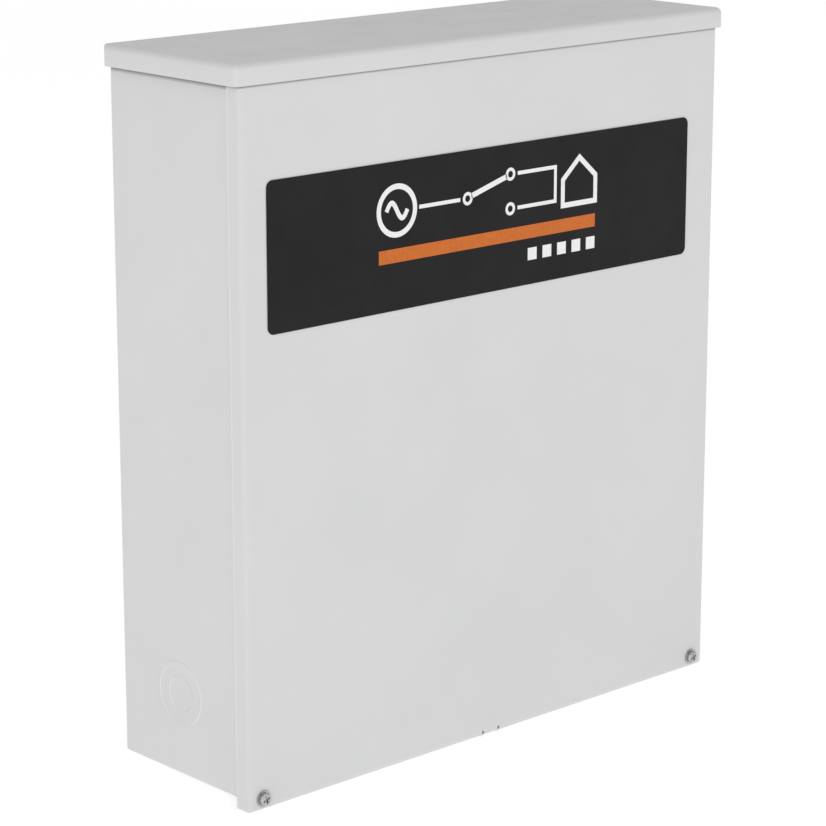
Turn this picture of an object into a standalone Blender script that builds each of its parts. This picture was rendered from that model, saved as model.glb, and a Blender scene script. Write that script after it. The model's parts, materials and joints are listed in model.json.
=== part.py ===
"""Automatic transfer switch in a wall-mounted rainproof enclosure.

Frame: +Z up, the front faces -Y, +X to the right seen from the front.
The origin is the centre of the enclosure's rear face, against the wall.
All sizes are in metres.
"""
import math

import bmesh
import bpy
from mathutils import Matrix, Vector

# ---------------------------------------------------------------- driving dimensions
GAP = 0.0003                # running gap between neighbouring pieces
SHEET = 0.0015              # steel sheet of the enclosure and its cover
COVER_WIDTH = 0.620
COVER_HEIGHT = 0.673        # from the drip cap's lip to the cover's lower edge
DEPTH = 0.188               # from the wall to the cover's face
COVER_DROP = 0.0105         # how far the cover hangs below the box
BOX_HEIGHT = 0.681
BOX_WIDTH = COVER_WIDTH - 2 * (SHEET + 0.001)
RETURN = 0.015              # folded strip round the front opening
BEND = 0.0025               # outer radius of the sheet's bends
PAST = 0.010                # how far a cutter runs past what it cuts
TONGUE_ROOM = (0.014, 0.0035)       # cleared in the box: behind its front, and below the lip
WALL_HOLE_RADIUS = 0.004
WALL_HOLES = [(x, z) for x in (-0.22, 0.22) for z in (-0.29, 0.31)]

CAP_HEIGHT = 0.020          # drip cap, top to lip
CAP_SIDE = 0.006            # overhang past the cover's sides
CAP_FRONT = 0.003           # overhang past the cover's face
CAP_ROUND = 0.006

COVER_FLANGE = 0.017
COVER_BEND = 0.0035
COVER_TONGUE = 0.012        # the cover's top edge, behind the drip cap's lip
NOTCH = (0.003, 0.0055)     # relief notch, width and height
NOTCH_PITCH = 0.021

PLATE_X = 0.540
PLATE_Z = (-0.170, 0.290)
PLATE_THICK = 0.002
STUD_RADIUS = 0.006
STUD_IN = 0.020             # stud axis in from the plate's edges
SEAL_THICK = 0.0024
SEAL_WIDTH = 0.0075

SCREW_IN = 0.018            # screw axis in from the cover's side edge
SCREW_UP = 0.0117           # screw axis above the cover's lower edge
SCREW_RADIUS = 0.0024
SCREW_LENGTH = 0.0112
HEAD = (0.0062, 0.0034)     # screw head, radius and height
WASHER = (0.008, 0.0026, 0.0010)    # outer radius, bore and thickness
NUT = (0.0055, 0.004)       # radius over the corners, and thickness
EAR = (0.022, 0.002)        # tab behind each cover screw, width and thickness
EAR_LIFT = 0.0028           # its lower edge above the cover's
EAR_TOP = 0.0135            # its upper edge above the box's bottom
NUT_ROOM = (0.017, 0.012, 0.0105)   # width, depth and height cleared round each nut

KNOCKOUT_RADIUS = 0.03135
KNOCKOUT_DISC = 0.0172
KNOCKOUT_BACK = 0.101       # centre behind the cover's face
KNOCKOUT_UP = 0.080         # centre above the box's bottom

PLAQUE_SIZE = (0.549, 0.1395)
PLAQUE_X = -0.006
PLAQUE_DOWN = 0.086         # top edge below the drip cap's lip
PLAQUE_THICK = 0.0005
PLAQUE_CORNER = 0.007

SWING = math.radians(20)    # the carrier's angle each side of level
POLE_PITCH = 0.064
AXIS_Z = 0.060              # height of the carrier's shaft
AXIS_OUT = 0.062            # the shaft, forward of the wall
CRANK = 0.030               # crank radius
CRANK_X = -0.130
PIN_RADIUS = 0.0035
PIN_GAP = 0.0005
BLADE = (0.0463, 0.004, 0.014)      # reach, half thickness, width
SHAFT_RADIUS = 0.009
BASE_THICK = 0.012          # rear slab of the mechanism's base
BASE_HALF_HEIGHT = 0.125
BARRIER = (0.004, 0.060, 0.126)     # thickness, reach and half height of the phase barriers
POLE_BLOCK = (0.0347, 0.032, 0.1245)        # front, near end and far end from the shaft
COIL_WING = (0.0035, 0.0286, 0.096)         # front, near end and far end from the shaft
LUG_WIDTH = 0.022
LUG_FRONT = 0.066           # lug faces forward of the shaft
LUG_MIDDLE = 0.1015         # lug bores above or below the shaft
LUG_END = 0.118
WIRE_BORE = 0.007           # radius of the bores for power conductors
SET_SCREW = (0.005, 0.004)  # well for a set screw, radius and twice the depth

COIL_SPAN = (0.038, 0.095)  # yoke's ends from the shaft's level
COIL_RADIUS = 0.020
COIL_END_GAP = 0.0033       # yoke end to winding
PLUNGER_RADIUS = 0.008
PLUNGER_BORE = 0.0086
YOKE_HALF = 0.022
YOKE_PLATE = 0.003
COLLAR = (0.010, 0.010, 0.013)      # plunger's collar: radius, start and end from its tip
SPRING_RADIUS = 0.0094
SPRING_WIRE = 0.0005
SPRING_TURNS = 6
BUTTON = (0.0014, 0.0044, 0.0015)   # limit switch button, radius, length and travel

LEFT_ROW = -0.215           # middle of the relay, fuses and terminal strip
RELAY_Z = 0.100
FUSES_Z = 0.215
STRIP_TOP = 0.035
STRIP_PITCH = 0.010
STRIP_WAYS = 12
BARS_Z = -0.125
HANDLE_Z = 0.245
WIRE_RADIUS = 0.004         # control harness

# ---------------------------------------------------------------- places worked out
COVER_FACE = -DEPTH
BOX_BOTTOM = -BOX_HEIGHT / 2
BOX_TOP = BOX_HEIGHT / 2
COVER_BOTTOM = BOX_BOTTOM - COVER_DROP
CAP_LIP = COVER_BOTTOM + COVER_HEIGHT
CAP_TOP = CAP_LIP + CAP_HEIGHT
BOX_FRONT = COVER_FACE + SHEET + 2 * GAP + SEAL_THICK
PLATE_BACK = -0.020
PLATE_FRONT = PLATE_BACK - PLATE_THICK
MOUNT_Y = PLATE_FRONT - GAP         # rear face of what stands on the plate
AXIS_Y = -AXIS_OUT
BASE_REAR = AXIS_Y - MOUNT_Y        # forward of the shaft, so it is negative
CRANK_LIFT = CRANK * math.sin(SWING)
ROD_Y = AXIS_Y - CRANK * (1 + math.cos(SWING)) / 2
POLES = [-POLE_PITCH, 0.0, POLE_PITCH]
BASE_HALF = 1.5 * POLE_PITCH + 0.004
WING_FRONT = AXIS_Y - COIL_WING[0] - GAP    # what the coils and switches stand on
SCREW_X = COVER_WIDTH / 2 - SCREW_IN
SCREW_Z = COVER_BOTTOM + SCREW_UP
KNOCKOUT_Y = COVER_FACE + KNOCKOUT_BACK
KNOCKOUT_Z = BOX_BOTTOM + KNOCKOUT_UP
UP = Vector((0, 0, 1))


# ---------------------------------------------------------------- scene and materials
def clear_scene():
    for item in list(bpy.data.objects):
        bpy.data.objects.remove(item)


def new_collection(name):
    made = bpy.data.collections.new(name)
    bpy.context.scene.collection.children.link(made)
    return made


clear_scene()
PARTS = new_collection("automatic_transfer_switch")
CUTTERS = new_collection("cutters")


def material(name, colour, metallic, roughness):
    made = bpy.data.materials.new(name)
    made.use_nodes = True
    shader = made.node_tree.nodes["Principled BSDF"]
    shader.inputs["Base Color"].default_value = (*colour, 1)
    shader.inputs["Metallic"].default_value = metallic
    shader.inputs["Roughness"].default_value = roughness
    return made


PAINT = material("grey_paint", (0.66, 0.66, 0.66), 0.0, 0.45)
ZINC = material("zinc", (0.60, 0.61, 0.62), 1.0, 0.35)
BLACK = material("black_moulding", (0.03, 0.03, 0.032), 0.0, 0.5)
PLAQUE = material("nameplate_black", (0.026, 0.024, 0.025), 0.0, 0.4)
ALUMINIUM = material("aluminium", (0.70, 0.71, 0.72), 1.0, 0.4)
COPPER = material("copper", (0.80, 0.42, 0.27), 1.0, 0.35)
STEEL = material("steel", (0.45, 0.46, 0.47), 1.0, 0.4)
WINDING = material("winding_tape", (0.45, 0.20, 0.06), 0.0, 0.6)
FOAM = material("foam_rubber", (0.05, 0.05, 0.05), 0.0, 0.9)
CREAM = material("cream_moulding", (0.62, 0.58, 0.47), 0.0, 0.5)
GLASS_TUBE = material("fuse_body", (0.75, 0.74, 0.68), 0.0, 0.3)
RED = material("red_vinyl", (0.45, 0.03, 0.02), 0.0, 0.5)
WIRE = material("wire_jacket", (0.04, 0.05, 0.10), 0.0, 0.5)


# ---------------------------------------------------------------- modelling helpers
def place(name, mesh, look, location=(0, 0, 0)):
    """Link a mesh as a named part; look None makes it a hidden cutter or joiner."""
    made = bpy.data.objects.new(name, mesh)
    made.location = location
    if look is None:
        CUTTERS.objects.link(made)
        made.hide_render = True
        made.display_type = "WIRE"
    else:
        PARTS.objects.link(made)
        mesh.materials.append(look)
    return made


def mesh_from(name, tool):
    mesh = bpy.data.meshes.new(name)
    tool.to_mesh(mesh)
    tool.free()
    return mesh


def box(name, low, high, look=None, bevel=0.0):
    """An upright block between two corners."""
    low = Vector(low)
    high = Vector(high)
    tool = bmesh.new()
    bmesh.ops.create_cube(tool, size=1)
    bmesh.ops.scale(tool, vec=high - low, verts=tool.verts)
    made = place(name, mesh_from(name, tool), look, (low + high) / 2)
    if bevel:
        round_edges(made, bevel)
    return made


def rod(name, centre, axis, radius, length, look=None, sides=24):
    """A round bar about its centre, along axis."""
    tool = bmesh.new()
    bmesh.ops.create_cone(tool, cap_ends=True, segments=sides, radius1=radius,
                          radius2=radius, depth=length)
    mesh = mesh_from(name, tool)
    turn = UP.rotation_difference(Vector(axis)).to_matrix().to_4x4()
    mesh.transform(turn)
    smooth(mesh)
    return place(name, mesh, look, centre)


def smooth(mesh):
    mesh.shade_smooth()
    mesh.set_sharp_from_angle(angle=math.radians(40))


def round_edges(piece, width, segments=2, angle=40):
    bevel = piece.modifiers.new("rounding", "BEVEL")
    bevel.width = width
    bevel.segments = segments
    bevel.limit_method = "ANGLE"
    bevel.angle_limit = math.radians(angle)


def turned(name, profile, centre, axis, look, steps=32, ring=False):
    """Turn a profile of (radius, height) points, listed from the top down, about axis."""
    mesh = bpy.data.meshes.new(name)
    corners = [(radius, 0, height) for radius, height in profile]
    edges = [(n, n + 1) for n in range(len(corners) - 1)]
    if ring:
        edges.append((len(corners) - 1, 0))
    mesh.from_pydata(corners, edges, [])
    made = place(name, mesh, look, centre)
    made.rotation_mode = "QUATERNION"
    made.rotation_quaternion = UP.rotation_difference(Vector(axis))
    screw = made.modifiers.new("turn", "SCREW")
    screw.steps = steps
    screw.render_steps = steps
    screw.use_merge_vertices = True
    screw.merge_threshold = 0.00001
    screw.use_smooth_shade = True
    return made


def outline(name, points, across, width, look=None):
    """Extrude a flat outline of (forward, up) points along X, centred on across.

    Forward counts from the shaft towards the front, up from the shaft's height.
    """
    curve = bpy.data.curves.new(name, "CURVE")
    curve.dimensions = "2D"
    curve.fill_mode = "BOTH"
    curve.extrude = width / 2
    line = curve.splines.new("POLY")
    line.points.add(len(points) - 1)
    for point, (forward, up) in zip(line.points, points):
        point.co = (forward, up, 0, 1)
    line.use_cyclic_u = True
    guide = bpy.data.objects.new(name + "_outline", curve)
    CUTTERS.objects.link(guide)
    bpy.context.view_layer.update()
    mesh = bpy.data.meshes.new_from_object(
        guide.evaluated_get(bpy.context.evaluated_depsgraph_get()))
    bpy.data.objects.remove(guide)
    tool = bmesh.new()
    tool.from_mesh(mesh)
    bmesh.ops.remove_doubles(tool, verts=tool.verts, dist=0.00001)
    tool.to_mesh(mesh)
    tool.free()
    upright = Matrix(((0, 0, -1, 0), (-1, 0, 0, 0), (0, 1, 0, 0), (0, 0, 0, 1)))
    mesh.transform(upright)
    return place(name, mesh, look, (across, AXIS_Y, AXIS_Z))


def boolean(piece, other, operation):
    step = piece.modifiers.new(operation.lower(), "BOOLEAN")
    step.operation = operation
    step.solver = "EXACT"
    step.object = other


def cut(piece, *others):
    for other in others:
        boolean(piece, other, "DIFFERENCE")


def join(piece, *others):
    for other in others:
        boolean(piece, other, "UNION")


def folded_box(name, low, high, open_sides, look, bend, front_return=0.0):
    """A sheet-metal box: the outside surface, its open sides removed, then thickened."""
    low = Vector(low)
    high = Vector(high)
    directions = {"left": (-1, 0, 0), "right": (1, 0, 0), "front": (0, -1, 0),
                  "rear": (0, 1, 0), "bottom": (0, 0, -1), "top": (0, 0, 1)}
    tool = bmesh.new()
    bmesh.ops.create_cube(tool, size=1)
    bmesh.ops.scale(tool, vec=high - low, verts=tool.verts)
    tool.normal_update()
    opened = [face for face in tool.faces for side in open_sides
              if face.normal.dot(Vector(directions[side])) > 0.9]
    if front_return:
        front = [face for face in opened if face.normal.y < -0.9]
        bmesh.ops.inset_region(tool, faces=front, thickness=front_return)
        header = [face for face in tool.faces if face.normal.y < -0.9
                  and face.calc_center_median().z > (high.z - low.z) / 2 - front_return]
        opened += header
    bmesh.ops.delete(tool, geom=opened, context="FACES")
    made = place(name, mesh_from(name, tool), look, (low + high) / 2)
    round_edges(made, bend, 3)
    shell = made.modifiers.new("sheet", "SOLIDIFY")
    shell.thickness = SHEET
    shell.offset = -1
    shell.use_even_offset = True
    return made


# ---------------------------------------------------------------- enclosure
def enclosure():
    half = BOX_WIDTH / 2
    body = folded_box("enclosure_body", (-half, BOX_FRONT, BOX_BOTTOM),
                      (half, 0, BOX_TOP - GAP), ("top", "front"), PAINT, BEND, RETURN)
    behind, below = TONGUE_ROOM
    cut(body, box("tongue_room", (-COVER_WIDTH, BOX_FRONT - PAST, CAP_LIP - below),
                  (COVER_WIDTH, BOX_FRONT + behind, BOX_TOP + PAST)))
    for side in (-1, 1):
        screw_ear(body, side * SCREW_X)
    cut(body, rod("knockout_hole", (-half, KNOCKOUT_Y, KNOCKOUT_Z), (1, 0, 0),
                  KNOCKOUT_RADIUS + GAP, 2 * PAST, sides=40))
    for x, z in WALL_HOLES:
        cut(body, rod("wall_hole", (x, 0, z), (0, 1, 0), WALL_HOLE_RADIUS, 2 * PAST))


def screw_ear(body, x):
    """A tab below the front opening that a cover screw passes through."""
    width, thickness = EAR
    room_width, room_depth, room_height = NUT_ROOM
    join(body, box("screw_ear", (x - width / 2, BOX_FRONT - thickness / 2, COVER_BOTTOM + EAR_LIFT),
                   (x + width / 2, BOX_FRONT + thickness / 2, BOX_BOTTOM + EAR_TOP)))
    nut_seat = BOX_FRONT + 0.4 * thickness
    cut(body, box("nut_room", (x - room_width / 2, nut_seat, BOX_BOTTOM - PAST),
                  (x + room_width / 2, BOX_FRONT + room_depth, BOX_BOTTOM + room_height)))
    cut(body, rod("screw_hole", (x, BOX_FRONT, SCREW_Z), (0, 1, 0), SCREW_RADIUS + 0.0005,
                  2 * PAST))


def drip_cap():
    side = COVER_WIDTH / 2 + CAP_SIDE
    folded_box("drip_cap", (-side, COVER_FACE - CAP_FRONT, CAP_LIP), (side, 0, CAP_TOP),
               ("bottom", "rear"), PAINT, CAP_ROUND)


def front_cover():
    half = COVER_WIDTH / 2
    cover = folded_box("front_cover", (-half, COVER_FACE, COVER_BOTTOM),
                       (half, COVER_FACE + COVER_FLANGE, CAP_LIP + COVER_TONGUE),
                       ("top", "rear"), PAINT, COVER_BEND)
    notch_width, notch_height = NOTCH
    shoulder = 0.006                # the tongue is this much narrower at each side
    for side in (-1, 1):
        near, far = sorted((side * (half - shoulder), side * (half + PAST)))
        cut(cover, box("cover_shoulder", (near, COVER_FACE - PAST, CAP_LIP - 0.0005),
                       (far, COVER_FACE + COVER_FLANGE + PAST, CAP_TOP + PAST)))
        centre = side * NOTCH_PITCH / 2
        cut(cover, box("relief_notch",
                       (centre - notch_width / 2, COVER_FACE - PAST, COVER_BOTTOM - PAST),
                       (centre + notch_width / 2, COVER_FACE + 0.006, COVER_BOTTOM + notch_height)))
        cut(cover, rod("cover_screw_hole", (side * SCREW_X, COVER_FACE, SCREW_Z), (0, 1, 0),
                       SCREW_RADIUS + 0.0004, PAST))


def cover_seal():
    """A foam strip stuck round the sides and the bottom of the front opening."""
    outer = BOX_WIDTH / 2 - 0.004
    inner = BOX_WIDTH / 2 - RETURN + 0.001
    top = CAP_LIP - 0.010
    low = BOX_BOTTOM + 0.0145
    rear = BOX_FRONT - GAP
    front = rear - SEAL_THICK + GAP
    seal = box("cover_gasket", (-outer, front, low), (outer, rear, top), FOAM)
    cut(seal, box("seal_window", (-inner, front - PAST, low + SEAL_WIDTH),
                  (inner, rear + PAST, top + PAST)))


def nameplate():
    width, height = PLAQUE_SIZE
    top = CAP_LIP - PLAQUE_DOWN
    rear = COVER_FACE - GAP
    plate = box("nameplate", (PLAQUE_X - width / 2, rear - PLAQUE_THICK, top - height),
                (PLAQUE_X + width / 2, rear, top), PLAQUE)
    tool = bmesh.new()
    tool.from_mesh(plate.data)
    corners = [edge for edge in tool.edges
               if abs(edge.verts[0].co.y - edge.verts[1].co.y) > PLAQUE_THICK / 2]
    bmesh.ops.bevel(tool, geom=corners, offset=PLAQUE_CORNER, segments=6, profile=0.5,
                    affect="EDGES")
    tool.to_mesh(plate.data)
    tool.free()


def cover_fasteners():
    outer, bore, thick = WASHER
    radius, height = HEAD
    seat = COVER_FACE - GAP
    under = thick + GAP
    washer = [(bore, thick), (outer, thick), (outer, 0), (bore, 0)]
    screw = [(0, under + height), (0.48 * radius, under + 0.94 * height),
             (0.84 * radius, under + 0.65 * height), (radius, under + 0.24 * height), (radius, under),
             (SCREW_RADIUS, under), (SCREW_RADIUS, 0.0012 - SCREW_LENGTH),
             (SCREW_RADIUS - 0.0008, -SCREW_LENGTH), (0, -SCREW_LENGTH)]
    nut_radius, nut_thick = NUT
    nut_y = BOX_FRONT + EAR[1] / 2 + GAP + nut_thick / 2
    for side, word in ((-1, "left"), (1, "right")):
        x = side * SCREW_X
        turned("cover_washer_" + word, washer, (x, seat, SCREW_Z), (0, -1, 0), ZINC, 28, ring=True)
        turned("cover_screw_" + word, screw, (x, seat, SCREW_Z), (0, -1, 0), ZINC, 24)
        nut = rod("weld_nut_" + word, (x, nut_y, SCREW_Z), (0, 1, 0), nut_radius, nut_thick, ZINC, 6)
        cut(nut, rod("nut_thread", (x, nut_y, SCREW_Z), (0, 1, 0), SCREW_RADIUS + 0.0002, 2 * PAST))


def knockout():
    """Concentric conduit knockout punched in the left side."""
    outside = -BOX_WIDTH / 2
    ring = [(KNOCKOUT_DISC + GAP, 0), (KNOCKOUT_RADIUS, 0), (KNOCKOUT_RADIUS, -SHEET),
            (KNOCKOUT_DISC + GAP, -SHEET)]
    turned("knockout_ring_left", ring, (outside, KNOCKOUT_Y, KNOCKOUT_Z), (-1, 0, 0), PAINT,
           40, ring=True)
    rod("knockout_disc_left", (outside + SHEET / 2, KNOCKOUT_Y, KNOCKOUT_Z), (1, 0, 0),
        KNOCKOUT_DISC, SHEET, PAINT, 32)


def mounting_plate():
    low, high = PLATE_Z
    box("mounting_plate", (-PLATE_X / 2, PLATE_FRONT, low), (PLATE_X / 2, PLATE_BACK, high), ZINC)
    across = PLATE_X / 2 - STUD_IN
    rear = -SHEET - GAP
    front = PLATE_BACK + GAP
    spots = [(x, z) for x in (-across, across) for z in (low + STUD_IN, high - STUD_IN)]
    for number, (x, z) in enumerate(spots, 1):
        rod(f"plate_stud_{number}", (x, (front + rear) / 2, z), (0, 1, 0), STUD_RADIUS,
            rear - front, STEEL, 16)


# ---------------------------------------------------------------- transfer mechanism
def tilted(reach, offset, angle):
    """A point on an arm that is raised by angle, as (forward, up) from the shaft."""
    forward = reach * math.cos(angle) - offset * math.sin(angle)
    up = reach * math.sin(angle) + offset * math.cos(angle)
    return forward, up


def from_shaft(x, forward, up):
    return Vector((x, AXIS_Y - forward, AXIS_Z + up))


def mechanism_base():
    half = BASE_HALF
    rear_slab = box("mechanism_base", (-half, MOUNT_Y - BASE_THICK, AXIS_Z - BASE_HALF_HEIGHT),
                    (half, MOUNT_Y, AXIS_Z + BASE_HALF_HEIGHT), BLACK)
    block_front, block_near, block_far = POLE_BLOCK
    wing_front, wing_near, wing_far = COIL_WING
    for way in (-1, 1):
        near, far = sorted((way * block_near, way * block_far))
        join(rear_slab, box("pole_block", from_shaft(-half + 0.001, block_front, near),
                            from_shaft(half - 0.001, BASE_REAR + 0.005, far)))
        near, far = sorted((way * wing_near, way * wing_far))
        join(rear_slab, box("coil_wing", from_shaft(CRANK_X - 0.046, wing_front, near),
                            from_shaft(-half + 0.006, BASE_REAR + 0.001, far)))
    thickness, reach, height = BARRIER
    for index in range(4):
        x = (index - 1.5) * POLE_PITCH
        join(rear_slab, box("barrier", from_shaft(x - thickness / 2, reach, -height),
                            from_shaft(x + thickness / 2, BASE_REAR + 0.004, height)))
    cut(rear_slab, rod("shaft_bore", (0, AXIS_Y, AXIS_Z), (1, 0, 0), SHAFT_RADIUS + 2 * GAP, 0.4))


def terminal_outline():
    """Fixed contact, bar and lug body of one upper terminal."""
    top = BLADE[1] + GAP
    thick = 0.005
    near, far = 0.032, 0.046        # the contact face's ends from the shaft
    pad_low = tilted(near, top, SWING)
    pad_tip = tilted(far, top, SWING)
    pad_edge = tilted(far, top + thick, SWING)
    pad_back = tilted(near, top + thick, SWING)
    rear = POLE_BLOCK[0] + GAP
    lug_start = LUG_END - 0.033
    step = (rear - pad_back[0]) * math.tan(SWING)
    return [pad_low, pad_tip, pad_edge, (pad_edge[0], lug_start), (LUG_FRONT, lug_start),
            (LUG_FRONT, LUG_END), (rear, LUG_END), (rear, pad_back[1] + step), pad_back]


def fixed_contacts():
    bore_forward = 0.0525
    for number, x in enumerate(POLES, 1):
        for word, turn, way in (("utility", 0, 1), ("standby", math.pi, -1)):
            lug = outline(f"{word}_lug_{number}", terminal_outline(), x, LUG_WIDTH, ALUMINIUM)
            lug.rotation_euler = (0, turn, 0)
            level = way * LUG_MIDDLE
            cut(lug, rod("wire_bore", from_shaft(x, bore_forward, level), UP, WIRE_BORE, 0.05, sides=20))
            cut(lug, rod("set_screw_well", from_shaft(x, LUG_FRONT, level), (0, 1, 0), *SET_SCREW,
                         sides=16))


def load_terminals():
    left = BASE_HALF + 0.022
    width = 0.052
    half_height = 0.095
    pitch = 0.060
    front = 0.010                   # forward of the shaft
    lug_depth = 0.026
    block = box("load_block", from_shaft(left, front, -half_height),
                from_shaft(left + width, BASE_REAR, half_height), BLACK)
    for z in (-pitch / 2, pitch / 2):
        join(block, box("load_barrier", from_shaft(left, front + 0.030, z - 0.002),
                        from_shaft(left + width, front - 0.002, z + 0.002)))
    middle = left + width / 2
    for number in range(3):
        z = (1 - number) * pitch
        seat = front + GAP
        lug = box(f"load_lug_{number + 1}", from_shaft(middle - 0.020, seat + lug_depth, z - 0.012),
                  from_shaft(middle + 0.020, seat, z + 0.012), ALUMINIUM)
        cut(lug, rod("load_wire_bore", from_shaft(middle, seat + 0.0125, z), (1, 0, 0), WIRE_BORE,
                     0.06, sides=20))
        cut(lug, rod("load_screw_well", from_shaft(middle, seat + lug_depth, z), (0, 1, 0),
                     *SET_SCREW, sides=16))


def arm_box(name, x, width, near, far, half, look=None):
    """A block along the carrier's arm, which rests raised by SWING at the shaft."""
    tool = bmesh.new()
    bmesh.ops.create_cube(tool, size=1)
    bmesh.ops.scale(tool, vec=(width, far - near, 2 * half), verts=tool.verts)
    bmesh.ops.translate(tool, vec=(0, -(near + far) / 2, 0), verts=tool.verts)
    made = place(name, mesh_from(name, tool), look, from_shaft(x, 0, 0))
    made.rotation_euler = (-SWING, 0, 0)
    return made


def contact_carrier():
    left = CRANK_X - 0.004
    right = BASE_HALF + 0.010
    middle = ((left + right) / 2, AXIS_Y, AXIS_Z)
    carrier = rod("contact_carrier", middle, (1, 0, 0), SHAFT_RADIUS, right - left, CREAM)
    reach, half, width = BLADE
    slot_root = 0.0060
    for number, x in enumerate(POLES, 1):
        join(carrier, arm_box("contact_boss", x, 0.030, -0.011, 0.024, 0.009))
        cut(carrier, arm_box("blade_slot", x, width + 2 * GAP, slot_root, 0.030, half + GAP))
        arm_box(f"moving_contact_{number}", x, width, slot_root + GAP, reach, half, COPPER)
    join(carrier, arm_box("crank_arm", CRANK_X, 0.008, 0.0, CRANK, 0.0025))
    pin = from_shaft(CRANK_X, *tilted(CRANK, 0, SWING))
    join(carrier, rod("crank_pin", pin, (1, 0, 0), PIN_RADIUS, 0.016, sides=16))
    square = 0.006                  # half the width across the handle's square
    join(carrier, arm_box("handle_square", right + 0.005, 0.012, -square, square, square))


def coil_level(height):
    """A point on the plungers' axis, so far above the shaft's level."""
    return from_shaft(CRANK_X, AXIS_Y - ROD_Y, height)


def coil_sets():
    """Closing coils above and below the crank, their yokes, plungers and switches."""
    near, far = COIL_SPAN
    for word, way in (("utility", 1), ("standby", -1)):
        centre = coil_level(way * (near + far) / 2)
        winding = rod(f"{word}_coil", centre, UP, COIL_RADIUS, far - near - 2 * COIL_END_GAP,
                      WINDING, 28)
        cut(winding, rod("rod_hole", centre, UP, PLUNGER_BORE, far - near - 0.004, sides=24))
        yoke(word, way)
        plunger(word, way)
        limit_switch(word, way)


def yoke(word, way):
    near, far = COIL_SPAN
    low, high = sorted((AXIS_Z + way * near, AXIS_Z + way * far))
    left = CRANK_X - YOKE_HALF
    right = CRANK_X + YOKE_HALF
    frame = box(f"{word}_yoke", (left, ROD_Y - COIL_RADIUS - 0.001, low), (right, WING_FRONT, high),
                STEEL)
    cut(frame, box("yoke_window", (left - PAST, ROD_Y - COIL_RADIUS - PAST, low + YOKE_PLATE),
                   (right + PAST, WING_FRONT - 0.0022, high - YOKE_PLATE)))
    cut(frame, rod("yoke_hole", coil_level(way * near), UP, PLUNGER_BORE, 2 * PAST, sides=24))


def plunger_tip(way):
    """Nearest point of a plunger to the shaft's level at rest, counted outwards."""
    return way * CRANK_LIFT + PIN_RADIUS + PIN_GAP


def plunger(word, way):
    tip = plunger_tip(way)
    collar, start, end = COLLAR
    neck = 0.004                    # radius of the rod between the tip and the collar
    length = 0.072
    profile = [(0, tip), (neck, tip), (neck, tip + start), (collar, tip + start), (collar, tip + end),
               (PLUNGER_RADIUS, tip + end), (PLUNGER_RADIUS, tip + length), (0, tip + length)]
    if way < 0:
        profile = [(radius, -height) for radius, height in profile]
    else:
        profile.reverse()
    piece = turned(f"{word}_plunger", profile, coil_level(0), UP, STEEL, 24)
    low, high = sorted((AXIS_Z + way * (tip + start), AXIS_Z + way * (tip + end)))
    join(piece, box("switch_flag", (CRANK_X - 0.038, ROD_Y - 0.004, low),
                    (CRANK_X - 0.006, ROD_Y + 0.004, high)))


def limit_switch(word, way):
    """A plunger switch; the utility one is held pressed at rest by its plunger's flag."""
    radius, length, travel = BUTTON
    pressed = plunger_tip(1) + COLLAR[2] + GAP      # the button's end when the flag is there
    face = pressed + 0.0010
    height = 0.016
    depth = 0.034
    x = CRANK_X - 0.034
    low, high = sorted((AXIS_Z + way * face, AXIS_Z + way * (face + height)))
    body = box(f"limit_switch_{word}", (x - 0.006, WING_FRONT - depth, low), (x + 0.006, WING_FRONT, high),
               BLACK)
    well_depth = 0.006
    cut(body, rod("button_well", (x, ROD_Y, AXIS_Z + way * face), UP, radius + 0.0004, 2 * well_depth,
                  sides=16))
    end = pressed if way > 0 else pressed - travel
    rod(f"limit_button_{word}", (x, ROD_Y, AXIS_Z + way * (end + length / 2)), UP, radius, length, RED,
        16)


def plunger_spring():
    """Coil spring between the standby plunger's collar and its yoke."""
    clear = 2 * GAP + SPRING_WIRE + 0.0001
    top = AXIS_Z - plunger_tip(-1) - COLLAR[2] - clear
    bottom = AXIS_Z - COIL_SPAN[0] + clear
    steps = 12
    curve = bpy.data.curves.new("plunger_spring", "CURVE")
    curve.dimensions = "3D"
    curve.bevel_depth = SPRING_WIRE
    curve.bevel_resolution = 1
    curve.use_fill_caps = True
    line = curve.splines.new("POLY")
    count = SPRING_TURNS * steps
    line.points.add(count)
    for index, point in enumerate(line.points):
        angle = 2 * math.pi * index / steps
        height = bottom + (top - bottom) * index / count
        point.co = (CRANK_X + SPRING_RADIUS * math.cos(angle), ROD_Y + SPRING_RADIUS * math.sin(angle),
                    height, 1)
    made = bpy.data.objects.new("plunger_spring", curve)
    PARTS.objects.link(made)
    curve.materials.append(STEEL)


# ---------------------------------------------------------------- controls
def relay():
    x, z = LEFT_ROW, RELAY_Z
    front = MOUNT_Y - 0.022         # the socket's face
    rounding = 0.001
    box("relay_socket", (x - 0.020, front, z - 0.038), (x + 0.020, MOUNT_Y, z + 0.038), BLACK, rounding)
    box("transfer_relay", (x - 0.0175, front - GAP - 0.052, z - 0.018),
        (x + 0.0175, front - GAP, z + 0.018), CREAM, rounding)


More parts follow.
